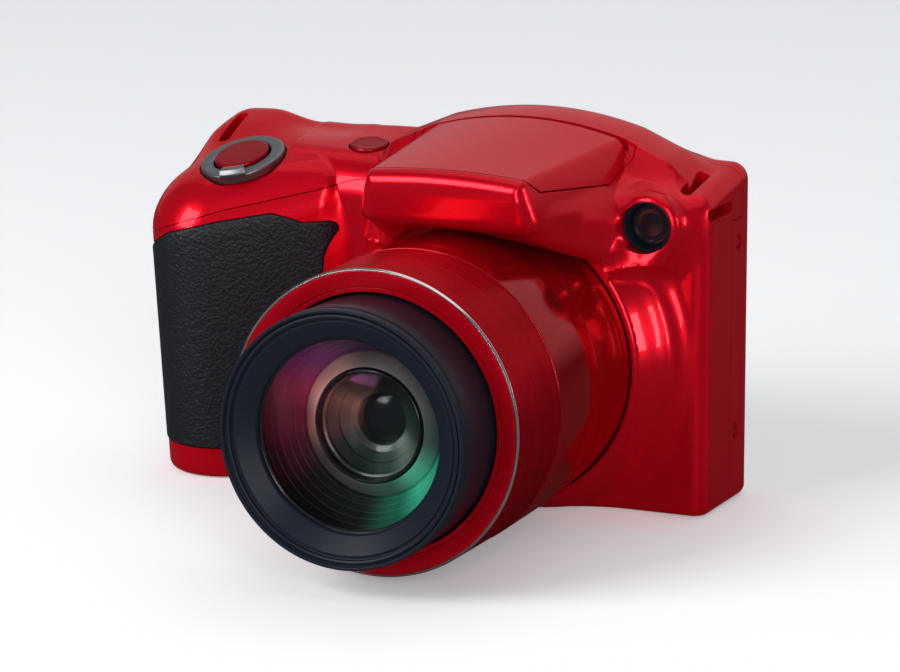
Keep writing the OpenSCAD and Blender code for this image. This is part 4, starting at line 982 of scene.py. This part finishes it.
# Top controls
lever = rounded([(5.2, -0.9), (7.65, -0.9), (7.65, 0.55, 0.5), (7.2, 0.8), (5.5, 0.8), (5.2, 0.55)], 0.2)
add(turned("zoom_lever_ring", lever, SHUTTER, 128), "lever", "gunmetal", GUNMETAL, "zoom_lever")
tab = rounded([(5.4, 0.5), (8.25, 0.2), (8.25, 1.2), (7.6, 2.0), (6.3, 1.9), (5.4, 1.2)], 0.5)
tab_arc = (math.radians(-74), math.radians(-40))
add(turned("zoom_lever_tab", tab, SHUTTER, 24, tab_arc), "lever", "gunmetal", GUNMETAL)
button = [(0, 1.3), (4.5, 1.4, 0.3), (4.9, 1.15, 0.25), (4.9, 0.6), (2.2, 0.6), (2.2, -5), (0, -5)]
add(turned("shutter_button_skin", rounded(button, 0.1), SHUTTER, 96),
    "shutter", "red_control", BUTTON_RED, "shutter_button")
button = rounded([(0, 0.4), (2.2, 0.42, 2), (3.1, 0.52, 0.4), (3.35, 0.2, 0.3), (3.35, -3.4), (0, -3.4)], 0.1)
add(turned("power_button_skin", button, POWER, 96), "power", "red_control", BUTTON_RED, "power_button")


# Rear controls and the screen
def rear_axis(place):
    return Matrix.Translation((place[0], 0, place[1])) @ Matrix.Rotation(-math.pi / 2, 4, "X")


key = rounded([(0, 14.2), (1.6, 14.17, 2), (2.45, 13.95, 0.5), (2.7, 13.5, 0.3), (2.7, 10.8), (0, 10.8)], 0.1)
for name, place in KEYS.items():
    add(turned(name + "_button_skin", key, rear_axis(place), 64),
        name, "black_plastic", KEY_BLACK, name + "_button")
pad = [(4.5, 11), (9.2, 11), (9.2, 13.7, 0.4), (8.6, 14.25, 0.6), (6.2, 14.4, 1), (4.9, 14.3, 0.3),
    (4.5, 13.9)]
add(turned("four_way_pad_skin", rounded(pad, 0.15), rear_axis(PAD), 96),
    "pad", "black_plastic", KEY_BLACK, "four_way_pad")
button = [(0, 13.95), (2.6, 14.02, 2), (3.8, 14.2, 0.4), (4.2, 13.8, 0.3), (4.2, 10.8), (0, 10.8)]
add(turned("set_button_skin", rounded(button, 0.1), rear_axis(PAD), 64),
    "set", "black_plastic", KEY_BLACK, "set_button")
upright = Matrix.Rotation(math.pi / 2, 4, "X")
add(slab("display_window_skin", (-34.5, 4.6, -13.6), (30.5, 53.6, -12.5), 0.6, 0.25, upright),
    "camera_body", "display_glass", SCREEN, "display_window")


# Screws, the socket and the battery door
def screw(place):
    """A pan-headed screw with a cross recess; its head is up and sunk a little."""
    head = -SCREW_SINK
    profile = rounded([(0, head), (0.9, head, 0.4), (SCREW_R, head - 0.35, 0.2), (SCREW_R, head - 0.9),
        (0.7, head - 0.9), (0.7, head - 3.4), (0, head - 3.4)], 0.06)
    made = turned("screw", profile, place, 40)
    for long, wide in ((0.75, 0.18), (0.18, 0.75)):
        cross = box((-long, -wide, head - 0.45), (long, wide, head + 1))
        cross.data.transform(Matrix.Scale(MM, 4) @ place @ Matrix.Scale(1 / MM, 4))
        carve(made, cross)
    return made


outside = Matrix.Rotation(math.pi / 2, 4, "Y")
side = [screw(Matrix.Translation((SIDE_X, v, w)) @ outside) for v, w in SIDE_SCREWS]
add(merge("side_screw_pair", side), "camera_body", "gunmetal", GUNMETAL, "side_screws")
under = [screw(Matrix.Translation((u, v, 0)) @ Matrix.Rotation(math.pi, 4, "X")) for u, v in BASE_SCREWS]
add(merge("base_screw_set", under), "camera_body", "gunmetal", GUNMETAL, "base_screws")

thread = []
for k in range(4):
    h = 0.5 + 1.27 * k
    thread += [(2.6, h), (3.0, h + 0.5), (2.6, h + 1.0)]
socket = [(2.9, 0), (5.6, 0), (5.6, 1.4), (4.1, 1.4), (4.1, 6.5), (0, 6.5), (0, 5.6), (2.6, 5.6)]
add(turned("tripod_socket_skin", rounded(socket + thread[::-1], 0.08, 3), Matrix.Identity(4), 64),
    "camera_body", "bare_metal", STEEL, "tripod_socket")

door = slab("battery_door_skin", DOOR_LOW, DOOR_HIGH, 0.9, 0.25, Matrix.Identity(4))
carve(door, rod((DOOR_LOW[0], DOOR_HIGH[1], 1.15), (1, 0, 0), 1.15, DOOR_HIGH[0] - DOOR_LOW[0], 48), "UNION")
for k in range(5):
    carve(door, box((-50, -7.6 + 0.9 * k, -1), (-36, -7.2 + 0.9 * k, 0.3)))
soften(door)
add(door, "door", "red_shell", PAINT, "battery_door")

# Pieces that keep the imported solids
FINISHES = {
    "lens_base": MATTE_BLACK, "middle_barrel": MATTE_BLACK, "cam_ring": ALLOY, "rear_element": GLOSS_BLACK,
    "image_sensor": BOARD, "main_board": BOARD, "chassis": ALLOY, "display_panel": GLOSS_BLACK,
    "flash_frame": MATTE_BLACK, "flash_window": WINDOW, "flash_reflector": BRIGHT, "flash_tube": WINDOW,
    "flash_pin": STEEL, "flash_capacitor": GLOSS_BLACK, "battery_box": MATTE_BLACK, "battery": BATTERY_GREY,
    "memory_card": KEY_BLACK, "battery_catch": CATCH_ORANGE, "door_pin": STEEL, "terminal_pin": STEEL,
    "terminal_socket": STEEL,
}
for name, finish in FINISHES.items():
    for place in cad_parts[name].material_slots:
        place.material = finish

# Camera and light
view = bpy.data.objects.new("view", bpy.data.cameras.new("view"))
view.data.lens = 200
view.data.sensor_width = 36
az, el = math.radians(23.99), math.radians(12.83)
look = Vector((-math.sin(az) * math.cos(el), math.cos(az) * math.cos(el), -math.sin(el)))
view.location = Vector((332.277, -785.129, 221.248)) * MM
view.rotation_euler = look.to_track_quat("-Z", "Y").to_euler()
view.data.clip_start = 0.01
bpy.context.scene.collection.objects.link(view)
bpy.context.scene.camera = view


def soft_light(name, place, target, size, power):
    lamp = bpy.data.lights.new(name, "AREA")
    lamp.shape = "RECTANGLE"
    lamp.size, lamp.size_y = size
    lamp.energy = power
    obj = bpy.data.objects.new(name, lamp)
    obj.location = place
    obj.rotation_euler = (Vector(target) - Vector(place)).to_track_quat("-Z", "Y").to_euler()
    bpy.context.scene.collection.objects.link(obj)
    return obj


soft_light("overhead", (0.1, 0.1, 0.95), (0, 0, 0.03), (1.2, 0.9), 2.2)
soft_light("front_left", (-0.55, -0.85, 0.6), (-0.02, -0.04, 0.03), (0.6, 0.6), 10)
soft_light("front_right", (0.5, -0.85, 0.3), (0.02, -0.02, 0.03), (0.3, 0.6), 4)
edge_light = soft_light("right_edge", (0.8, 0.12, 0.14), (0.03, -0.01, 0.04), (0.1, 0.3), 1.2)
# This one is seen only as a glint down the side
edge_light.visible_diffuse = False
soft_light("backdrop", (0, 0.6, 1.6), (0, 2.2, 0.6), (2.4, 0.6), 3)

world = bpy.data.worlds.new("studio")
world.use_nodes = True
sky = world.node_tree.nodes["Background"]
sky.inputs["Color"].default_value = (0.88, 0.93, 1, 1)
sky.inputs["Strength"].default_value = 0.12
bpy.context.scene.world = world
bpy.context.scene.view_settings.view_transform = "Standard"

# A floor that curves up into the backdrop
FLOOR = -0.0001
CURVE_FROM = 1.2
CURVE_R = 0.8
rise = [(-3.0, FLOOR), (CURVE_FROM, FLOOR)]
for a in np.linspace(0.1, math.pi / 2, 14):
    rise.append((CURVE_FROM + CURVE_R * math.sin(a), FLOOR + CURVE_R - CURVE_R * math.cos(a)))
rise.append((CURVE_FROM + CURVE_R, 4.0))
points = [(x, y, z) for x in (-4, 4) for y, z in rise]
n = len(rise)
sweep = new_object("sweep", points, [(i, i + 1, n + i + 1, n + i) for i in range(n - 1)])
soften(sweep)
paper, paper_shader = material("paper", (0.86, 0.87, 0.88), 0.9, spec=0.1)
paper_shader.inputs["Emission Color"].default_value = (0.97, 0.985, 1, 1)
paper_shader.inputs["Emission Strength"].default_value = 0.25
# The floor is darker in reflections than to the eye, as with dark cards round a set
mirrored = node(paper, "ShaderNodeBsdfDiffuse", Color=(0.12, 0.12, 0.12, 1))
ray = node(paper, "ShaderNodeLightPath")
height = node(paper, "ShaderNodeSeparateXYZ")
low = node(paper, "ShaderNodeMapRange")
for socket_name, value in (("From Min", 0.05), ("From Max", 0.4), ("To Min", 1), ("To Max", 0)):
    low.inputs[socket_name].default_value = value
both = node(paper, "ShaderNodeMath", operation="MULTIPLY")
blend = node(paper, "ShaderNodeMixShader")
paper.node_tree.links.new(node(paper, "ShaderNodeNewGeometry").outputs["Position"], height.inputs["Vector"])
paper.node_tree.links.new(height.outputs["Z"], low.inputs["Value"])
paper.node_tree.links.new(low.outputs["Result"], both.inputs[0])
paper.node_tree.links.new(ray.outputs["Is Glossy Ray"], both.inputs[1])
paper.node_tree.links.new(both.outputs["Value"], blend.inputs[0])
paper.node_tree.links.new(paper_shader.outputs["BSDF"], blend.inputs[1])
paper.node_tree.links.new(mirrored.outputs["BSDF"], blend.inputs[2])
paper.node_tree.links.new(blend.outputs["Shader"], paper.node_tree.nodes["Material Output"].inputs["Surface"])
dress(sweep, paper)
